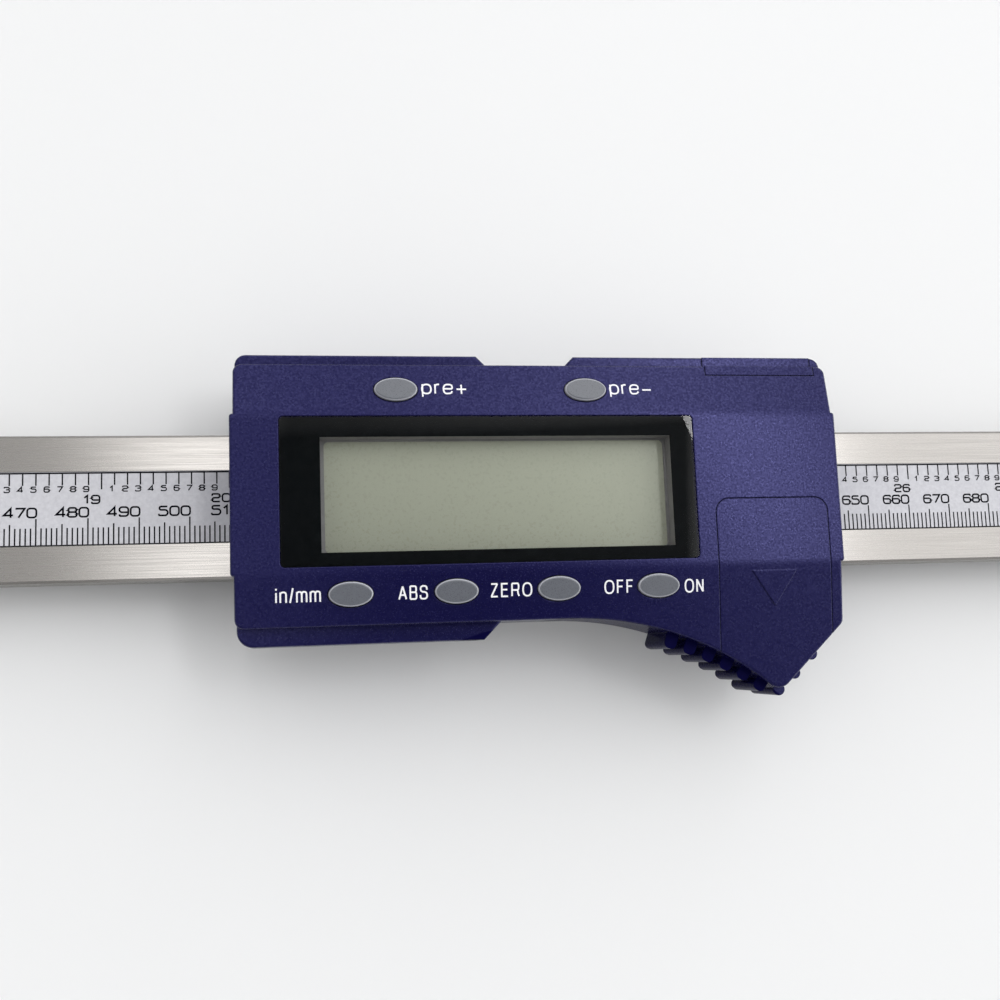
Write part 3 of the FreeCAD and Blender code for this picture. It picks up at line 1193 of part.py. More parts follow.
# Slider: covers that come off
def make_battery_cover():
    """Sliding lid that carries on the front of the band and of the lower strip down to the grip's tip."""
    body = new_body("battery_cover")
    section = new_sketch(body, "YZ", "lid_left + lid_gap")
    far = "(grip_radius + %s)" % SPARE
    edge = "-lid_top - lid_gap"
    draw_outline(section, [
        (edge, "band_height"), *lower_slope(far, "0"), *reversed(lower_slope(far, "lid_thick")),
        (edge, "band_height - lid_thick"),
    ], {1: ("crease_radius", 1), 5: ("crease_radius", -1)})
    add(body, section, "lid_right - lid_left - 2 * lid_gap")
    trim = new_sketch(body, "XY", "band_height + " + SPARE)
    right = "%s + %s" % (FRONT_RIGHT, SPARE)
    below = "-grip_radius - 2 * " + SPARE
    draw_outline(trim, [
        *grip_outline("grip_start", FRONT_RIGHT), (right, "-grip_flank"), (right, below),
        ("grip_start", below),
    ], {0: ("grip_radius", -1)})
    cut(body, trim, "2 * band_height")
    dress(body, "Fillet", "Radius", "grip_nose", upright_at([("grip_tip", TIP)]))
    corners = [("lid_left + lid_gap", edge), ("lid_right - lid_gap", edge)]
    dress(body, "Fillet", "Radius", "lid_corner - lid_gap", upright_at(corners))
    doc.recompute()
    rims = front_rims(body.Tip.Shape)
    start = size("-front_bottom")

    def on_grip(edge):
        return rims(edge) and edge.BoundBox.XLength > 0.1 and edge.BoundBox.YMax < start
    dress(body, "Fillet", "Radius", "edge_round", on_grip)
    make_arrow(body)


def make_arrow(body):
    """Raised arrow on the lid that shows which way it slides, with its top along the lid's slope."""
    sketch = new_sketch(body, "XY", lower_level("arrow_top") + " - lid_thick")
    draw_outline(sketch, [
        ("arrow_left", "-arrow_top"), ("arrow_left + arrow_width / 2", "-arrow_top - arrow_height"),
        ("arrow_left + arrow_width", "-arrow_top"),
    ])
    add(body, sketch, "lid_thick + arrow_stand")
    near, far = "(arrow_top - arrow_stand)", "(arrow_top + arrow_height + arrow_stand)"
    high, low = lower_level(near) + " + arrow_stand", lower_level(far) + " + arrow_stand"
    over = high + " + arrow_stand"
    slope = new_sketch(body, "YZ", "arrow_left + arrow_width")
    draw_outline(slope, [("-" + near, high), ("-" + far, low), ("-" + far, over), ("-" + near, over)])
    cut(body, slope, "arrow_width")


def make_data_port_cover():
    """Cover over the data port, bent over the front strip and the wing."""
    body = new_body("data_port_cover")
    section = new_sketch(body, "YZ", "flap_left + flap_gap")
    level = "band_height - (%s - band_top) * tan(strip_slope)"
    inner = flap_section("0")
    draw_outline(section, [
        *inner, ("wing_top", "flap_foot"), ("wing_top", "wing_height"), ("front_top", "wing_height"),
        ("front_top", level % "front_top"), ("flap_edge", level % "flap_edge"),
    ])
    add(body, section, "flap_right - flap_left - 2 * flap_gap")


make_beam()
make_strips()
make_foot("end_bracket_left", -1)
make_foot("end_bracket_right", 1)
make_foot_screws()
make_carriage()
make_gib()
make_back_plate()
make_carriage_screws()
make_front_cover()
make_display()
for key_label, key_along, key_side in KEYS:
    make_key(key_label, key_along, key_side)
make_domes()
make_boards()
make_battery()
make_battery_cover()
make_data_port_cover()
doc.recompute()

failed = [thing.Label for thing in doc.Objects if {"Invalid", "Error"} & set(thing.State)]
failed += [piece.Label for piece in pieces if piece.Shape.isNull() or not piece.Shape.isValid()]
if failed:
    raise RuntimeError("these failed: " + ", ".join(failed))
os.makedirs("parts", exist_ok=True)
for piece in pieces:
    piece.Shape.exportStep("parts/%s.step" % piece.Label)
    print("%-26s %d solids %10.2f mm3" % (piece.Label, len(piece.Shape.Solids), piece.Shape.Volume))
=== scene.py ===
import json
import math

import bpy
from mathutils import Euler, Matrix, Vector


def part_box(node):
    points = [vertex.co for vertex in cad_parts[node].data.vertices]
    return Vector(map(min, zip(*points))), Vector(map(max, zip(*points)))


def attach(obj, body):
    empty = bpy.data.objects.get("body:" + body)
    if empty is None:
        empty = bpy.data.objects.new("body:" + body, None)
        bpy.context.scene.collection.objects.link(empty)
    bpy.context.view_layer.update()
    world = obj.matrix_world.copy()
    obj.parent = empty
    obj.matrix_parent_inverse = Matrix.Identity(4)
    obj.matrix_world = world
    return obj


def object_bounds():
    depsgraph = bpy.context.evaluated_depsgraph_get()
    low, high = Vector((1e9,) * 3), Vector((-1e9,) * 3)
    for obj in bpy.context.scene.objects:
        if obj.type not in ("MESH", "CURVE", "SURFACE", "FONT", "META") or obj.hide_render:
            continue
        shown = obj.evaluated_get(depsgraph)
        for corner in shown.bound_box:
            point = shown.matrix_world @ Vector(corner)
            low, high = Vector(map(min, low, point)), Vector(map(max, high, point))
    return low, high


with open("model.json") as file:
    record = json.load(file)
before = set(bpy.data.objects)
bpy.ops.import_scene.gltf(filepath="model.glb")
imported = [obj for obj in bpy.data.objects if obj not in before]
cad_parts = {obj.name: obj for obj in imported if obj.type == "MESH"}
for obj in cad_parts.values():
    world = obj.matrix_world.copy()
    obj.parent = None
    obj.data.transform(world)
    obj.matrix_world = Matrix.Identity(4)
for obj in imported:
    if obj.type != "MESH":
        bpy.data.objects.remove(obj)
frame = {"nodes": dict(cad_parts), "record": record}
cad_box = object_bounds()
nodes = frame["nodes"]
MM = 0.001

# Places taken from the frame
STRIP_LOW, STRIP_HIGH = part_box("graduation_strip")
STRIP_TOP = STRIP_HIGH.z
SLIDER_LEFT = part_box("front_cover")[0].x
BAND_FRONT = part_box("front_cover")[1].z
FLOOR_LEVEL = cad_box[0].z

# Noise: the values that bound most of it, and the size of a cloud of colour in grains
NOISE_LOW, NOISE_HIGH = 0.3, 0.7
PLASTIC_CLOUD, METAL_CLOUD = 6, 20

# Spread of roughness on plastic and ground metal, and below and above the mean on dull metal
PLASTIC_SPREAD, GROUND_SPREAD = 0.06, 0.07
DULL_BELOW, DULL_ABOVE = 0.05, 0.08

# Housing: tint of its shine, size of the shiny grains and range over them, and softness of its edges
HOUSING_TINT = (0.42, 0.42, 1, 1)
GLITTER_SIZE = 0.42 * MM
DULL_GRAIN, BRIGHT_GRAIN = 0.4, 0.8
EDGE_RADIUS = 0.3 * MM
EDGE_SAMPLES = 6

# Finger grip: its hollow curve, the share of shine in it, and where outside it the shine comes back
GRIP_RADIUS = 68.6 * MM
GRIP_AXIS = Vector((SLIDER_LEFT + 67.2 * MM, -94.4 * MM))
GRIP_SHINE = 0.04
SHINE_START, SHINE_END = GRIP_RADIUS + 0.05 * MM, GRIP_RADIUS + 0.15 * MM

# Ground metal: spread of its shine across the streaks, and share of its colour left on sides by painted
# shade, told by their lift
ANISOTROPY = 0.93
SIDE_SHADE = 0.5
SIDE_LIFT, FRONT_LIFT = 0.75, 0.95

# Keys: shine, and the lift of the surface at the crown and at the rim, across which a painted highlight
# turns pale
KEY_SHINE = 0.7
CROWN_LIFT, RIM_LIFT = 0.95, 0.8

# Window: tint, refraction and roughness of its front
WINDOW_TINT = (0.96, 0.97, 0.96, 1)
WINDOW_INDEX = 1.49
WINDOW_ROUGHNESS = 0.015

# Shares of the display's painted sheen, a change of colour, that come along it and across it
SHEEN_ALONG, SHEEN_ACROSS = 0.45, 0.55

# Camera of the photograph
CAMERA_PLACE = (-0.04321, -0.03182, 0.26102)
CAMERA_TURN = (7.7115, -9.9169, -2.1869)
CAMERA_LENS = 42.287
CAMERA_SENSOR = 36
CAMERA_CLIP = 0.01

# Light of the room by direction along X, at its near and far sides, with a dim gap left of the camera
NEAR_EDGE, FAR_EDGE = -0.5, 0.4
NEAR_LIGHT = (
    (-1.0, 0.35), (-0.4, 0.43), (-0.32, 0.17), (-0.165, 0.1), (-0.115, 0.8), (-0.02, 0.7),
    (0.02, 0.45), (0.44, 0.45), (0.62, 0.53), (1.0, 0.85),
)
FAR_LIGHT = (
    (-1.0, 0.9), (-0.6, 1.0), (-0.4, 1.66), (-0.32, 0.62), (-0.22, 0.5), (-0.165, 0.4), (-0.115, 1.95),
    (-0.06, 2.0), (-0.03, 2.9), (0.0, 0.7), (0.06, 0.9), (0.17, 1.8), (0.31, 2.9), (0.37, 2.9),
    (0.41, 1.15), (0.46, 1.15), (0.5, 1.4), (0.62, 1.4), (1.0, 2.1),
)
BRIGHTEST = 3.0

# Dark camera overhead, in the directions that it covers: middle, half size, share of light, soft border
SHADE_MIDDLE = (0.16, -0.125, 0)
SHADE_HALF = (0.176, 0.325, 1)
SHADE_SHARE = 0.06
SHADE_INNER, SHADE_OUTER = 0.95, 1.05

# Backdrop behind the object, as pale as the table, which shiny surfaces show low above the table
BACKDROP = 0.9
BACKDROP_FOOT, BACKDROP_TOP = 0.08, 0.22

# Narrow lamp high above the right of the object, which faces down
LAMP_PLACE = (0.515, 0.235, 1.2)
LAMP_SIZE = (0.11, 0.44)
LAMP_TURN = 20
LAMP_POWER = 1.3

# Table: half its size, its colours, and its shine
TABLE_HALF = 4.0
TABLE_DARK, TABLE_LIGHT = (0.885, 0.89, 0.895), (0.9, 0.905, 0.91)
TABLE_CLOUD, TABLE_GRAIN = 300 * MM, 2 * MM
TABLE_SMOOTH, TABLE_ROUGH = 0.4, 0.5
TABLE_SHINE = 0.25

# Printed strokes: thickness, stepped so that strokes that cross differ in height
PRINT_THICK, PRINT_STEP, PRINT_LAYERS = 0.02 * MM, 0.002 * MM, 4

# Solid of a stroke: corners at each of its points, and the limit on how far a sharp bend reaches out
RING = 4
SHARPEST_BEND = 0.35

# Graduations: readings in millimetres, lengths across the strip
RANGE = 1000
REST_READING = 508.7
INCH, TENTHS = 25.4, 10
LINE_WIDTH = 0.28 * MM
UPPER_BORDER, UPPER_BORDER_WIDTH = 7.27 * MM, 0.32 * MM
LOWER_BORDER, LOWER_BORDER_WIDTH = -7.4 * MM, 0.19 * MM
NUMBERED_STEP = 10
MILLIMETRE_TICKS = {NUMBERED_STEP: 5.4 * MM, 5: 4.3 * MM, 1: 3.5 * MM}
TENTH_TICK, INCH_TICK = 2.5 * MM, 3.4 * MM

# Numbers of the graduations: sizes of digits, shift from the marks, and share of the pitch that a 1 takes
TENTH_DIGIT = {
    "top": 4.5 * MM, "tall": 1.05 * MM, "wide": 1.0 * MM, "stroke": 0.24 * MM, "pitch": 1.3 * MM,
}
INCH_DIGIT = {
    "top": 2.62 * MM, "tall": 1.6 * MM, "wide": 1.55 * MM, "stroke": 0.33 * MM, "pitch": 2.07 * MM,
}
METRIC_DIGIT = {
    "top": 0.16 * MM, "tall": 1.83 * MM, "wide": 1.75 * MM, "stroke": 0.36 * MM, "pitch": 2.22 * MM,
}
TENTH_SHIFT, INCH_SHIFT, METRIC_SHIFT = 0.05 * MM, -3.5 * MM, 0.06 * MM
ONE_SHARE = 0.76

# Corners of the numerals: radius as a share of the height, steps of an arc, and what counts as slanted
CORNER_SHARE = 0.3
CORNER_STEPS = 4
SLANTED = 0.1

# Strokes of the numerals in a box one wide and one tall; a true first item closes the stroke
NUMERALS = {
    "0": [(True, [(0, 0), (1, 0), (1, 1), (0, 1)])],
    "1": [(False, [(0.1, 0.72), (0.48, 1), (0.48, 0)])],
    "2": [(False, [(0, 0.76), (0, 1), (1, 1), (1, 0.5), (0, 0.5), (0, 0), (1, 0)])],
    "3": [(False, [(0.02, 0.8), (0.02, 1), (0.96, 1), (0.96, 0.54), (0.36, 0.54)]),
          (False, [(0.6, 0.54), (1, 0.54), (1, 0), (0, 0), (0, 0.22)])],
    "4": [(False, [(0.74, 0), (0.74, 1), (0, 0.27), (1, 0.27)])],
    "5": [(False, [(0.96, 1), (0.06, 1), (0.06, 0.62), (1, 0.62), (1, 0), (0, 0), (0, 0.2)])],
    "6": [(False, [(0.97, 0.8), (0.97, 1), (0, 1), (0, 0), (1, 0), (1, 0.58), (0, 0.58)])],
    "7": [(False, [(0, 1), (1, 1), (0.32, 0)])],
    "8": [(True, [(0, 0), (1, 0), (1, 0.53), (0, 0.53)]),
          (True, [(0.04, 0.53), (0.96, 0.53), (0.96, 1), (0.04, 1)])],
    "9": [(False, [(0.03, 0.2), (0.03, 0), (1, 0), (1, 1), (0, 1), (0, 0.42), (1, 0.42)])],
}

# Strokes of the letters: the width of each beside the others, then straight lines, curves and loops
LETTERS = {
    "A": (0.51, [("line", [(0, 0), (0.5, 1)]), ("line", [(1, 0), (0.5, 1)]),
                 ("line", [(0.2, 0.33), (0.8, 0.33)])]),
    "B": (0.44, [("line", [(0, 0), (0, 1)]),
                 ("curve", [(0, 1), (0.5, 1), (0.94, 1), (0.94, 0.53), (0.5, 0.53), (0, 0.53)]),
                 ("curve", [(0, 0.53), (0.55, 0.53), (1, 0.53), (1, 0), (0.55, 0), (0, 0)])]),
    "E": (0.42, [("line", [(0.97, 1), (0, 1), (0, 0), (1, 0)]), ("line", [(0, 0.53), (0.9, 0.53)])]),
    "F": (0.38, [("line", [(1, 1), (0, 1), (0, 0)]), ("line", [(0, 0.52), (0.88, 0.52)])]),
    "N": (0.43, [("line", [(0, 0), (0, 1)]), ("line", [(1, 0), (1, 1)]),
                 ("line", [(0.02, 0.98), (0.98, 0.02)])]),
    "O": (0.58, [("loop", [(0, 0), (1, 0), (1, 1), (0, 1)])]),
    "R": (0.48, [("line", [(0, 0), (0, 1)]),
                 ("curve", [(0, 1), (0.5, 1), (0.95, 1), (0.95, 0.48), (0.5, 0.48), (0, 0.48)]),
                 ("curve", [(0.45, 0.48), (0.82, 0.47), (0.84, 0.2), (1, 0)])]),
    "S": (0.47, [("curve", [(0.97, 0.7), (0.93, 1), (0.03, 1), (0.03, 0.55),
                            (1, 0.52), (1, 0), (0, 0), (0, 0.3)])]),
    "Z": (0.45, [("line", [(0.03, 1), (0.97, 1)]), ("line", [(0.95, 1), (0.02, 0)]),
                 ("line", [(0, 0), (1, 0)])]),
    "e": (0.59, [("line", [(0.02, 0.41), (0.98, 0.41)]),
                 ("curve", [(0.98, 0.41), (0.98, 0.78), (0, 0.78), (0, 0), (0.8, 0), (0.98, 0.2)])]),
    "i": (0.04, [("line", [(0.5, 0), (0.5, 0.77)]), ("line", [(0.5, 0.95), (0.5, 1.09)])]),
    "m": (0.69, [("line", [(0, 0), (0, 0.8)]),
                 ("curve", [(0, 0.5), (0.04, 0.8), (0.48, 0.8), (0.5, 0.5), (0.5, 0)]),
                 ("curve", [(0.5, 0.5), (0.54, 0.8), (0.98, 0.8), (1, 0.5), (1, 0)])]),
    "n": (0.41, [("line", [(0, 0), (0, 0.8)]),
                 ("curve", [(0, 0.5), (0.05, 0.8), (0.97, 0.8), (1, 0.5), (1, 0)])]),
    "p": (0.56, [("line", [(0, -0.27), (0, 0.8)]),
                 ("loop", [(-0.06, 0), (1, 0), (1, 0.78), (-0.06, 0.78)])]),
    "r": (0.28, [("line", [(0, 0), (0, 0.8)]), ("curve", [(0, 0.36), (0, 0.62), (0.35, 0.8), (1, 0.78)])]),
    "/": (0.21, [("line", [(0, -0.02), (1, 1.1)])]),
    "+": (0.64, [("line", [(0, 0.37), (1, 0.37)]), ("line", [(0.5, -0.02), (0.5, 0.76)])]),
    "-": (0.61, [("line", [(0, 0.34), (1, 0.34)])]),
}

# Key legends: text, its left and right ends from the slider's left face, and its baseline across the beam
LEGENDS = [
    ("legend_preset_plus", "pre+", 38.3 * MM, 47.6 * MM, 20.5 * MM),
    ("legend_preset_minus", "pre-", 77.8 * MM, 86.9 * MM, 20.5 * MM),
    ("legend_unit", "in/mm", 8.45 * MM, 17.3 * MM, -21.1 * MM),
    ("legend_absolute", "ABS", 32.4 * MM, 38.3 * MM, -21.1 * MM),
    ("legend_zero", "ZERO", 50.85 * MM, 59.45 * MM, -21.1 * MM),
    ("legend_off", "OFF", 74.45 * MM, 80.6 * MM, -21.1 * MM),
    ("legend_on", "ON", 91.55 * MM, 95.65 * MM, -21.3 * MM),
]

# Letters: height of a capital, width of a stroke, and the gap between letters, measured as their widths are
CAPITAL_HEIGHT = 2.85 * MM
LETTER_STROKE = 0.33 * MM
LETTER_GAP = 0.28

# Curves of the letters: how often their corners are cut, and the share of a side that a cut takes
CURVE_ROUNDS = 3
CORNER_CUT = 0.25

# Key strips: their slopes, and where they begin above and below the middle of the beam
UPPER_SLOPE, LOWER_SLOPE = math.radians(11), math.radians(6.5)
BAND_TOP, BAND_BOTTOM = 16.5 * MM, 15.6 * MM


# Node helpers
def shader_of(material):
    """The Principled shader of a material."""
    return material.node_tree.nodes["Principled BSDF"]


def new_material(name, **constants):
    """A material with one Principled shader, whose constant sockets are named with underscores."""
    material = bpy.data.materials.new(name)
    material.use_nodes = True
    for socket, value in constants.items():
        shader_of(material).inputs[socket.replace("_", " ")].default_value = value
    return material


def link(owner, source, socket):
    """Link the output of a node to a socket."""
    owner.node_tree.links.new(source, socket)


def new_node(owner, kind, **inputs):
    """A node of a kind, with the named inputs set or linked."""
    node = owner.node_tree.nodes.new("ShaderNode" + kind)
    for name, value in inputs.items():
        socket = node.inputs[name.replace("_", " ")]
        if isinstance(value, bpy.types.NodeSocket):
            link(owner, value, socket)
        else:
            socket.default_value = value
    return node


def combine(owner, operation, first, second):
    """Two values joined by a mathematical operation."""
    result = new_node(owner, "Math")
    result.operation = operation
    for socket, value in zip(result.inputs, (first, second)):
        link(owner, value, socket)
    return result.outputs["Value"]


def ranged(owner, value, start, end, low=0.0, high=1.0):
    """A value brought from one range to another and held inside it."""
    node = new_node(owner, "MapRange", Value=value, From_Min=start, From_Max=end, To_Min=low, To_Max=high)
    return node.outputs["Result"]


def object_place(material):
    """Place on the object, in its own coordinates."""
    return new_node(material, "TexCoord").outputs["Object"]


def grain(material, size, stretch=(1, 1, 1), detail=3.0, roughness=0.55):
    """Noise with grains of a size in metres, stretched along the axes."""
    scale = [1 / (size * factor) for factor in stretch]
    mapped = new_node(material, "Mapping", Vector=object_place(material), Scale=scale).outputs["Vector"]
    noise = new_node(material, "TexNoise", Vector=mapped, Scale=1.0, Detail=detail, Roughness=roughness)
    return noise.outputs["Fac"]


def slant(material, direction, start, end):
    """Factor that rises along a direction, from 0 at one distance along it to 1 at another."""
    along = new_node(material, "VectorMath", Vector=object_place(material))
    along.operation = "DOT_PRODUCT"
    along.inputs[1].default_value = direction
    return ranged(material, along.outputs["Value"], start, end)


def lift_of(material, normal):
    """How far the surface faces forward, by one of its normals."""
    facing = new_node(material, "NewGeometry").outputs[normal]
    return new_node(material, "SeparateXYZ", Vector=facing).outputs["Z"]


def colour_by(material, factor, dark, light, low=NOISE_LOW, high=NOISE_HIGH):
    """Base colour between two colours, by a factor."""
    ramp = new_node(material, "ValToRGB", Fac=factor)
    for stop, (place, colour) in zip(ramp.color_ramp.elements, ((low, dark), (high, light))):
        stop.position = place
        stop.color = (*colour, 1)
    link(material, ramp.outputs["Color"], shader_of(material).inputs["Base Color"])


def colour_over(material, blend, factor, colour):
    """Blend a colour over the base colour, by a factor."""
    base = shader_of(material).inputs["Base Color"]
    mix = new_node(material, "MixRGB", Fac=factor, Color1=base.links[0].from_socket, Color2=colour)
    mix.blend_type = blend
    link(material, mix.outputs["Color"], base)


def roughness_by(material, factor, low, high):
    """Roughness between two values, by a factor."""
    spread = ranged(material, factor, NOISE_LOW, NOISE_HIGH, low, high)
    link(material, spread, shader_of(material).inputs["Roughness"])


def bump_by(material, factor, depth):
    """Relief of a depth in metres, by a factor."""
    bump = new_node(material, "Bump", Height=factor, Distance=depth, Strength=1.0)
    link(material, bump.outputs["Normal"], shader_of(material).inputs["Normal"])


def fine_relief(material, grain_size, depth, low, high):
    """Fine grains that stand out by a depth, with a roughness between two values."""
    fine = grain(material, grain_size)
    roughness_by(material, fine, low, high)
    bump_by(material, fine, depth)


# Materials
def textured_plastic(name, dark, light, roughness, grain_size, depth):
    """Moulded plastic with a fine spark texture and slight clouds of colour."""
    material = new_material(name)
    colour_by(material, grain(material, PLASTIC_CLOUD * grain_size), dark, light)
    fine_relief(material, grain_size, depth, roughness - PLASTIC_SPREAD, roughness + PLASTIC_SPREAD)
    return material


def housing_plastic(name, dark, light, roughness, grain_size, depth):
    """Moulded plastic with soft edges that glitters in the colour of its pigment, duller in the grip."""
    material = textured_plastic(name, dark, light, roughness, grain_size, depth)
    shader = shader_of(material)
    shader.inputs["Specular Tint"].default_value = HOUSING_TINT
    soft = new_node(material, "Bevel", Radius=EDGE_RADIUS)
    soft.samples = EDGE_SAMPLES
    relief = shader.inputs["Normal"].links[0].from_node
    link(material, soft.outputs["Normal"], relief.inputs["Normal"])
    around = new_node(material, "Mapping", Vector=object_place(material), Scale=(1, 1, 0),
                      Location=(-GRIP_AXIS.x, -GRIP_AXIS.y, 0))
    reach = new_node(material, "VectorMath", Vector=around.outputs["Vector"])
    reach.operation = "LENGTH"
    outside = ranged(material, reach.outputs["Value"], SHINE_START, SHINE_END, GRIP_SHINE, 1.0)
    grains = grain(material, GLITTER_SIZE, detail=0)
    glitter = ranged(material, grains, NOISE_LOW, NOISE_HIGH, DULL_GRAIN, BRIGHT_GRAIN)
    link(material, combine(material, "MULTIPLY", outside, glitter), shader.inputs["Specular IOR Level"])
    return material


def brushed_metal(name, dark, light, roughness, streak, length, depth):
    """Metal ground along X, with long fine streaks, a shine that spreads across them, and sides darkened by
    painted shade.
    """
    material = new_material(name, Metallic=1.0, Anisotropic=ANISOTROPY)
    tangent = new_node(material, "Tangent")
    tangent.direction_type = "RADIAL"
    tangent.axis = "X"
    link(material, tangent.outputs["Tangent"], shader_of(material).inputs["Tangent"])
    streaks = grain(material, streak, (length, 1, 1), detail=4.0, roughness=0.6)
    colour_by(material, streaks, dark, light)
    # Painted shade: faces that tilt away from the front, the sides and chamfers, get a darker colour.
    side_shade = ranged(material, lift_of(material, "True Normal"), SIDE_LIFT, FRONT_LIFT, SIDE_SHADE, 1.0)
    colour_over(material, "MULTIPLY", 1.0, side_shade)
    roughness_by(material, streaks, roughness + GROUND_SPREAD, roughness - GROUND_SPREAD)
    bump_by(material, streaks, depth)
    return material


def blasted_metal(name, dark, light, roughness, grain_size, depth):
    """Metal with an even dull surface."""
    material = new_material(name, Metallic=1.0)
    colour_by(material, grain(material, METAL_CLOUD * grain_size), dark, light)
    fine_relief(material, grain_size, depth, roughness - DULL_BELOW, roughness + DULL_ABOVE)
    return material


def key_plastic(name, dark, light, rim, roughness, grain_size, depth):
    """Satin plastic of a key, with a painted highlight that turns it pale along its rim."""
    material = textured_plastic(name, dark, light, roughness, grain_size, depth)
    shader_of(material).inputs["Specular IOR Level"].default_value = KEY_SHINE
    # Painted highlight: pale colour on the rounded rim, where the surface tilts away from the front.
    rim_highlight = ranged(material, lift_of(material, "Normal"), CROWN_LIFT, RIM_LIFT)
    colour_over(material, "MIX", rim_highlight, (*rim, 1))
    return material


def printed_black(name, dark, light, roughness, grain_size, depth):
    """Black ink with no shine of its own."""
    material = textured_plastic(name, dark, light, roughness, grain_size, depth)
    shader_of(material).inputs["Specular IOR Level"].default_value = 0
    return material


def display_glass(name, dark, light, roughness, grain_size, depth):
    """Blank display with a painted sheen that makes it paler towards its upper right corner, and a faint
    mottle.
    """
    material = new_material(name)
    low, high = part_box("lcd_panel")
    middle, half = (low + high) / 2, (high - low) / 2
    direction = Vector((SHEEN_ALONG / half.x, SHEEN_ACROSS / half.y, 0))
    rise = direction.dot(middle)
    # Painted sheen: the colour grows paler towards the upper right corner.
    colour_by(material, slant(material, direction, rise - 1, rise + 1), dark, light, 0, 1)
    fine_relief(material, grain_size, depth, roughness - PLASTIC_SPREAD, roughness + PLASTIC_SPREAD)
    return material


def clear_window(name):
    """Clear lens: see-through, with the shine of its polished front."""
    material = new_material(name)
    tree = material.node_tree
    tree.nodes.remove(shader_of(material))
    see_through = new_node(material, "BsdfTransparent", Color=WINDOW_TINT)
    shine = new_node(material, "BsdfGlossy", Roughness=WINDOW_ROUGHNESS)
    fresnel = new_node(material, "Fresnel", IOR=WINDOW_INDEX).outputs["Fac"]
    inside = new_node(material, "NewGeometry").outputs["Backfacing"]
    front = ranged(material, inside, 0.0, 1.0, 1.0, 0.0)
    mix = new_node(material, "MixShader", Fac=combine(material, "MULTIPLY", fresnel, front))
    link(material, see_through.outputs["BSDF"], mix.inputs[1])
    link(material, shine.outputs["BSDF"], mix.inputs[2])
    link(material, mix.outputs["Shader"], tree.nodes["Material Output"].inputs["Surface"])
    return material


def finishes():
    """The material of each slot, from its maker and what that maker takes after the name."""
    looks = {
        "housing_blue": (
            housing_plastic, (0.003, 0.0025, 0.034), (0.004, 0.0035, 0.039), 0.24, 0.3 * MM, 0.012 * MM),
        # Key: dark and light colours, then the colour of its painted rim highlight
        "key_grey": (
            key_plastic, (0.11, 0.118, 0.138), (0.122, 0.131, 0.153), (0.42, 0.43, 0.47),
            0.3, 0.2 * MM, 0.004 * MM),
        "beam_steel": (
            brushed_metal, (0.55, 0.525, 0.5), (0.68, 0.65, 0.62), 0.27, 0.16 * MM, 120, 0.003 * MM),
        "carriage_steel": (
            brushed_metal, (0.42, 0.42, 0.41), (0.58, 0.58, 0.57), 0.36, 0.2 * MM, 60, 0.004 * MM),
        "scale_print": (
            textured_plastic, (0.57, 0.57, 0.61), (0.66, 0.66, 0.7), 0.5, 0.12 * MM, 0.004 * MM),
        "circuit_green": (
            textured_plastic, (0.015, 0.13, 0.05), (0.02, 0.17, 0.07), 0.35, 0.3 * MM, 0.004 * MM),
        "bracket_aluminium": (
            blasted_metal, (0.5, 0.505, 0.51), (0.57, 0.575, 0.58), 0.42, 0.18 * MM, 0.008 * MM),
        "screw_steel": (
            blasted_metal, (0.3, 0.3, 0.31), (0.4, 0.4, 0.41), 0.36, 0.15 * MM, 0.004 * MM),
        "gib_brass": (
            brushed_metal, (0.66, 0.46, 0.17), (0.78, 0.58, 0.25), 0.34, 0.2 * MM, 60, 0.004 * MM),
        "window_clear": (clear_window,),
        "mask_black": (
            printed_black, (0.004, 0.005, 0.006), (0.006, 0.007, 0.008), 0.6, 0.3 * MM, 0.001 * MM),
        # Display: the dark and pale ends of its painted sheen
        "lcd_grey": (
            display_glass, (0.295, 0.3, 0.246), (0.51, 0.515, 0.423), 0.3, 0.6 * MM, 0.001 * MM),
        "frame_grey": (
            textured_plastic, (0.19, 0.18, 0.19), (0.22, 0.21, 0.22), 0.45, 0.25 * MM, 0.006 * MM),
        "zebra_rubber": (
            textured_plastic, (0.22, 0.22, 0.24), (0.27, 0.27, 0.29), 0.7, 0.3 * MM, 0.01 * MM),
        "connector_black": (
            textured_plastic, (0.012, 0.012, 0.013), (0.018, 0.018, 0.019), 0.5, 0.25 * MM, 0.006 * MM),
        "contact_gold": (
            blasted_metal, (0.74, 0.54, 0.2), (0.84, 0.64, 0.3), 0.25, 0.2 * MM, 0.002 * MM),
        "cell_steel": (
            blasted_metal, (0.68, 0.68, 0.69), (0.78, 0.78, 0.79), 0.24, 0.2 * MM, 0.002 * MM),
        "ink_black": (
            printed_black, (0.006, 0.006, 0.009), (0.01, 0.01, 0.014), 0.6, 0.3 * MM, 0.001 * MM),
        "legend_white": (
            textured_plastic, (0.9, 0.9, 0.93), (0.95, 0.95, 0.97), 0.5, 0.2 * MM, 0.001 * MM),
    }
    return {slot: maker(slot, *look) for slot, (maker, *look) in looks.items()}


def dress_nodes(finish):
    """Give every carried-over node the finish of its slot."""
    for subpart in frame["record"]["subparts"]:
        mesh = nodes[subpart["node"]].data
        mesh.materials.clear()
        mesh.materials.append(finish[subpart["material_slot"]])


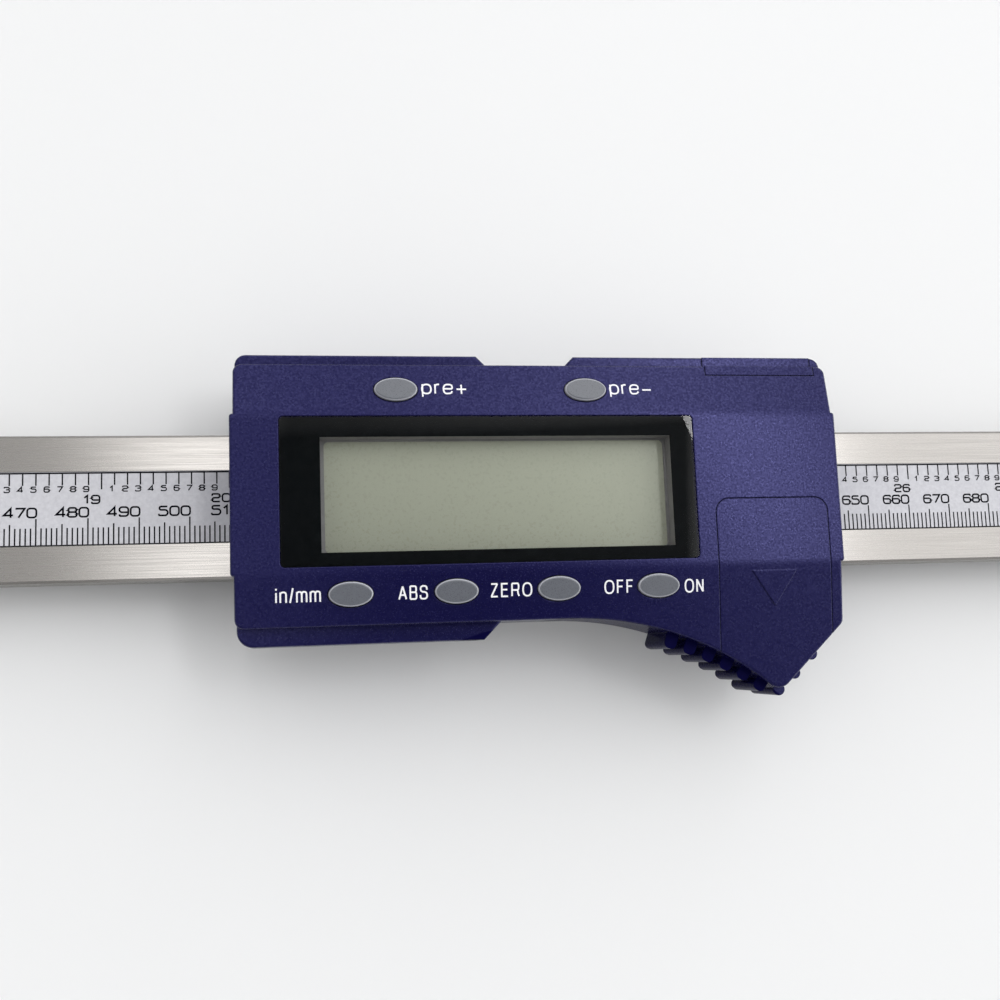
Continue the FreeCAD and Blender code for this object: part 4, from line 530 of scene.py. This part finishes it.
# Flat print: strokes as thin solids
def round_corner(before, corner, after, radius):
    """Points of the arc that rounds a right-angled corner, or the corner itself where it is slanted."""
    into, out = corner - before, after - corner
    if abs(into.normalized().dot(out.normalized())) > SLANTED:
        return [corner]
    reach = min(radius, into.length / 2, out.length / 2)
    start, end = corner - into.normalized() * reach, corner + out.normalized() * reach
    centre = start + end - corner
    points = []
    for step in range(CORNER_STEPS + 1):
        angle = math.pi / 2 * step / CORNER_STEPS
        points.append(centre + (start - centre) * math.cos(angle) + (end - centre) * math.sin(angle))
    return points


def smooth_stroke(points, radius, closed):
    """The stroke with its right-angled corners rounded."""
    smooth = []
    for number, corner in enumerate(points):
        inner = closed or 0 < number < len(points) - 1
        following = points[(number + 1) % len(points)]
        smooth += round_corner(points[number - 1], corner, following, radius) if inner else [corner]
    return smooth


def soften(points, closed):
    """A smooth curve that hugs a run of points, by cutting its corners again and again."""
    for _ in range(CURVE_ROUNDS):
        count = len(points)
        cut = []
        for number in range(count if closed else count - 1):
            start, end = points[number], points[(number + 1) % count]
            cut += [start.lerp(end, CORNER_CUT), start.lerp(end, 1 - CORNER_CUT)]
        points = cut if closed else [points[0], *cut[1:-1], points[-1]]
    return points


class Print:
    """Flat strokes on a face, gathered as thin closed solids for one mesh."""

    def __init__(self, level_at):
        self.level_at = level_at
        self.points, self.faces = [], []
        self.layer = 0

    def stroke(self, points, width, closed=False):
        """Add a stroke of a width along points, as rings of corners that faces join."""
        count = len(points)
        first = len(self.points)
        thick = PRINT_THICK + self.layer * PRINT_STEP
        for number, point in enumerate(points):
            into, out = point - points[number - 1], points[(number + 1) % count] - point
            if number == 0 and not closed:
                into = out
            if number == count - 1 and not closed:
                out = into
            into, out = into.normalized(), out.normalized()
            side = Vector((-into.y - out.y, into.x + out.x)).normalized()
            reach = width / 2 / max(SHARPEST_BEND, side.dot(Vector((-into.y, into.x))))
            for edge in (point + side * reach, point - side * reach):
                level = self.level_at(edge.y)
                self.points += [(edge.x, edge.y, level), (edge.x, edge.y, level + thick)]
        for number in range(count if closed else count - 1):
            a, b = first + RING * number, first + RING * ((number + 1) % count)
            self.faces += [(a + 1, a + 3, b + 3, b + 1), (a, b, b + 2, a + 2),
                           (a, a + 1, b + 1, b), (a + 2, b + 2, b + 3, a + 3)]
        if not closed:
            last = first + RING * (count - 1)
            self.faces += [(first, first + 2, first + 3, first + 1), (last, last + 1, last + 3, last + 2)]
        self.layer = (self.layer + 1) % PRINT_LAYERS

    def line(self, start, end, width):
        """Add a straight stroke."""
        self.stroke([Vector(start), Vector(end)], width)

    def number(self, text, left, style):
        """Write a number from a place along X."""
        wide, tall = style["wide"], style["tall"]
        bottom = style["top"] - tall
        for digit in text:
            for closed, points in NUMERALS[digit]:
                corners = [Vector((left + x * wide, bottom + y * tall)) for x, y in points]
                smooth = smooth_stroke(corners, CORNER_SHARE * tall, closed)
                self.stroke(smooth, style["stroke"], closed)
            left += pitch_of(digit, style)

    def word(self, text, left, right, baseline):
        """Write a word between two places along X."""
        widths = [LETTERS[letter][0] for letter in text]
        tall = CAPITAL_HEIGHT - LETTER_STROKE
        total = sum(widths) + LETTER_GAP * (len(text) - 1)
        stretch = (right - left - LETTER_STROKE) / total
        start, bottom = left + LETTER_STROKE / 2, baseline + LETTER_STROKE / 2
        for letter, width in zip(text, widths):
            for kind, points in LETTERS[letter][1]:
                corners = [Vector((start + x * width * stretch, bottom + y * tall)) for x, y in points]
                closed = kind == "loop"
                self.stroke(corners if kind == "line" else soften(corners, closed), LETTER_STROKE, closed)
            start += (width + LETTER_GAP) * stretch

    def piece(self, name, material):
        """Make one piece of all the strokes."""
        mesh = bpy.data.meshes.new(name)
        mesh.from_pydata(self.points, [], self.faces)
        mesh.materials.append(material)
        thing = bpy.data.objects.new(name, mesh)
        bpy.context.scene.collection.objects.link(thing)
        return thing


def place_of(reading):
    """X of a reading in millimetres on the scale."""
    return SLIDER_LEFT + (reading - REST_READING) * MM


def pitch_of(digit, style):
    """Distance from a digit to the next."""
    return style["pitch"] * (ONE_SHARE if digit == "1" else 1)


def width_of(text, style):
    """Width of a number between the middles of its outer strokes."""
    return style["wide"] + sum(pitch_of(digit, style) for digit in text[:-1])


def print_scale(ink):
    """Metric and inch graduations with their numbers, between two border lines."""
    marks = Print(lambda across: STRIP_TOP)
    for level, width in ((UPPER_BORDER, UPPER_BORDER_WIDTH), (LOWER_BORDER, LOWER_BORDER_WIDTH)):
        marks.line((STRIP_LOW.x, level), (STRIP_HIGH.x, level), width)
    for reading in range(RANGE + 1):
        step = next(step for step in MILLIMETRE_TICKS if reading % step == 0)
        x = place_of(reading)
        marks.line((x, LOWER_BORDER), (x, LOWER_BORDER + MILLIMETRE_TICKS[step]), LINE_WIDTH)
        if step == NUMBERED_STEP:
            text = str(reading)
            marks.number(text, x + METRIC_SHIFT - width_of(text, METRIC_DIGIT), METRIC_DIGIT)
    for count in range(int(RANGE / INCH * TENTHS) + 1):
        inches, tenth = divmod(count, TENTHS)
        x = place_of(count * INCH / TENTHS)
        length = TENTH_TICK if tenth else INCH_TICK
        marks.line((x, UPPER_BORDER), (x, UPPER_BORDER - length), LINE_WIDTH)
        if tenth:
            marks.number(str(tenth), x + TENTH_SHIFT - TENTH_DIGIT["wide"], TENTH_DIGIT)
        else:
            marks.number(str(inches), x + INCH_SHIFT, INCH_DIGIT)
    piece = marks.piece("scale_graduations", ink)
    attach(piece, "beam_frame")


def strip_level(across):
    """Height of a key strip's front at a place across the beam."""
    if across > 0:
        return BAND_FRONT - (across - BAND_TOP) * math.tan(UPPER_SLOPE)
    return BAND_FRONT - (-across - BAND_BOTTOM) * math.tan(LOWER_SLOPE)


def print_legends(paint):
    """Legends beside the keys, on the sloped strips."""
    for name, text, left, right, baseline in LEGENDS:
        letters = Print(strip_level)
        letters.word(text, SLIDER_LEFT + left, SLIDER_LEFT + right, baseline)
        piece = letters.piece(name, paint)
        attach(piece, "slider")


# Stage
def make_floor():
    """Pale table under the object."""
    material = new_material("table", Specular_IOR_Level=TABLE_SHINE)
    colour_by(material, grain(material, TABLE_CLOUD), TABLE_DARK, TABLE_LIGHT)
    roughness_by(material, grain(material, TABLE_GRAIN), TABLE_SMOOTH, TABLE_ROUGH)
    mesh = bpy.data.meshes.new("table")
    signs = ((-1, -1), (1, -1), (1, 1), (-1, 1))
    corners = [(x * TABLE_HALF, y * TABLE_HALF, FLOOR_LEVEL) for x, y in signs]
    mesh.from_pydata(corners, [], [(0, 1, 2, 3)])
    mesh.materials.append(material)
    table = bpy.data.objects.new("table", mesh)
    bpy.context.scene.collection.objects.link(table)


def light_ramp(world, side, levels):
    """Light by direction along X, as a colour ramp of its share of the brightest."""
    ramp = new_node(world, "ValToRGB", Fac=side)
    stops = ramp.color_ramp.elements
    for number, (direction, level) in enumerate(levels):
        place = (direction + 1) / 2
        stop = stops[0] if number == 0 else stops.new(place)
        stop.position = place
        stop.color = (*[level / BRIGHTEST] * 3, 1)
    stops.remove(stops[-1])
    return ramp.outputs["Color"]


def room_light(world, place):
    """Light of the room by direction, from its near side to its far side."""
    split = new_node(world, "SeparateXYZ", Vector=place).outputs
    side = ranged(world, split["X"], -1.0, 1.0)
    across = ranged(world, split["Y"], NEAR_EDGE, FAR_EDGE)
    near, far = light_ramp(world, side, NEAR_LIGHT), light_ramp(world, side, FAR_LIGHT)
    return new_node(world, "MixRGB", Fac=across, Color1=near, Color2=far).outputs["Color"]


def room_strength(world, place):
    """Strength of the light, which drops in the directions that the dark camera covers."""
    shade = new_node(world, "Mapping", Vector=place, Location=SHADE_MIDDLE, Scale=SHADE_HALF)
    shade.vector_type = "TEXTURE"
    corner = new_node(world, "VectorMath", Vector=shade.outputs["Vector"])
    corner.operation = "ABSOLUTE"
    sides = new_node(world, "SeparateXYZ", Vector=corner.outputs["Vector"]).outputs
    outer = combine(world, "MAXIMUM", sides["X"], sides["Y"])
    return ranged(world, outer, SHADE_INNER, SHADE_OUTER, BRIGHTEST * SHADE_SHARE, BRIGHTEST)


def backdrop_share(world, place):
    """Where the backdrop shows: all over to the camera, and low above the table in shiny surfaces."""
    rays = new_node(world, "LightPath").outputs
    height = new_node(world, "SeparateXYZ", Vector=place).outputs["Z"]
    low = ranged(world, height, BACKDROP_TOP, BACKDROP_FOOT)
    shiny = combine(world, "MAXIMUM", rays["Is Glossy Ray"], rays["Is Transmission Ray"])
    return combine(world, "MAXIMUM", rays["Is Camera Ray"], combine(world, "MULTIPLY", shiny, low))


def make_world():
    """Room light, brighter to the right and the far side, with the dark camera overhead and a backdrop."""
    world = bpy.data.worlds.new("room")
    bpy.context.scene.world = world
    world.use_nodes = True
    tree = world.node_tree
    place = new_node(world, "TexCoord").outputs["Generated"]
    room = tree.nodes["Background"]
    link(world, room_light(world, place), room.inputs["Color"])
    link(world, room_strength(world, place), room.inputs["Strength"])
    backdrop = new_node(world, "Background", Color=(BACKDROP, BACKDROP, BACKDROP, 1))
    seen = new_node(world, "MixShader", Fac=backdrop_share(world, place))
    link(world, room.outputs["Background"], seen.inputs[1])
    link(world, backdrop.outputs["Background"], seen.inputs[2])
    link(world, seen.outputs["Shader"], tree.nodes["World Output"].inputs["Surface"])


def make_lamp():
    """Soft lamp overhead, to the right."""
    light = bpy.data.lights.new("lamp", "AREA")
    light.shape = "RECTANGLE"
    light.size, light.size_y = LAMP_SIZE
    light.energy = LAMP_POWER
    lamp = bpy.data.objects.new("lamp", light)
    lamp.location = LAMP_PLACE
    lamp.rotation_euler = (0, 0, math.radians(LAMP_TURN))
    bpy.context.scene.collection.objects.link(lamp)


def make_camera():
    """Camera where the photograph was taken from."""
    data = bpy.data.cameras.new("camera")
    data.lens = CAMERA_LENS
    data.sensor_width = CAMERA_SENSOR
    data.clip_start = CAMERA_CLIP
    camera = bpy.data.objects.new("camera", data)
    turn = Euler([math.radians(angle) for angle in CAMERA_TURN])
    camera.matrix_world = Matrix.Translation(CAMERA_PLACE) @ turn.to_matrix().to_4x4()
    bpy.context.scene.collection.objects.link(camera)
    bpy.context.scene.camera = camera


finish = finishes()
dress_nodes(finish)
print_scale(finish["ink_black"])
print_legends(finish["legend_white"])
make_floor()
make_world()
make_lamp()
make_camera()
bpy.context.scene.view_settings.view_transform = "Standard"
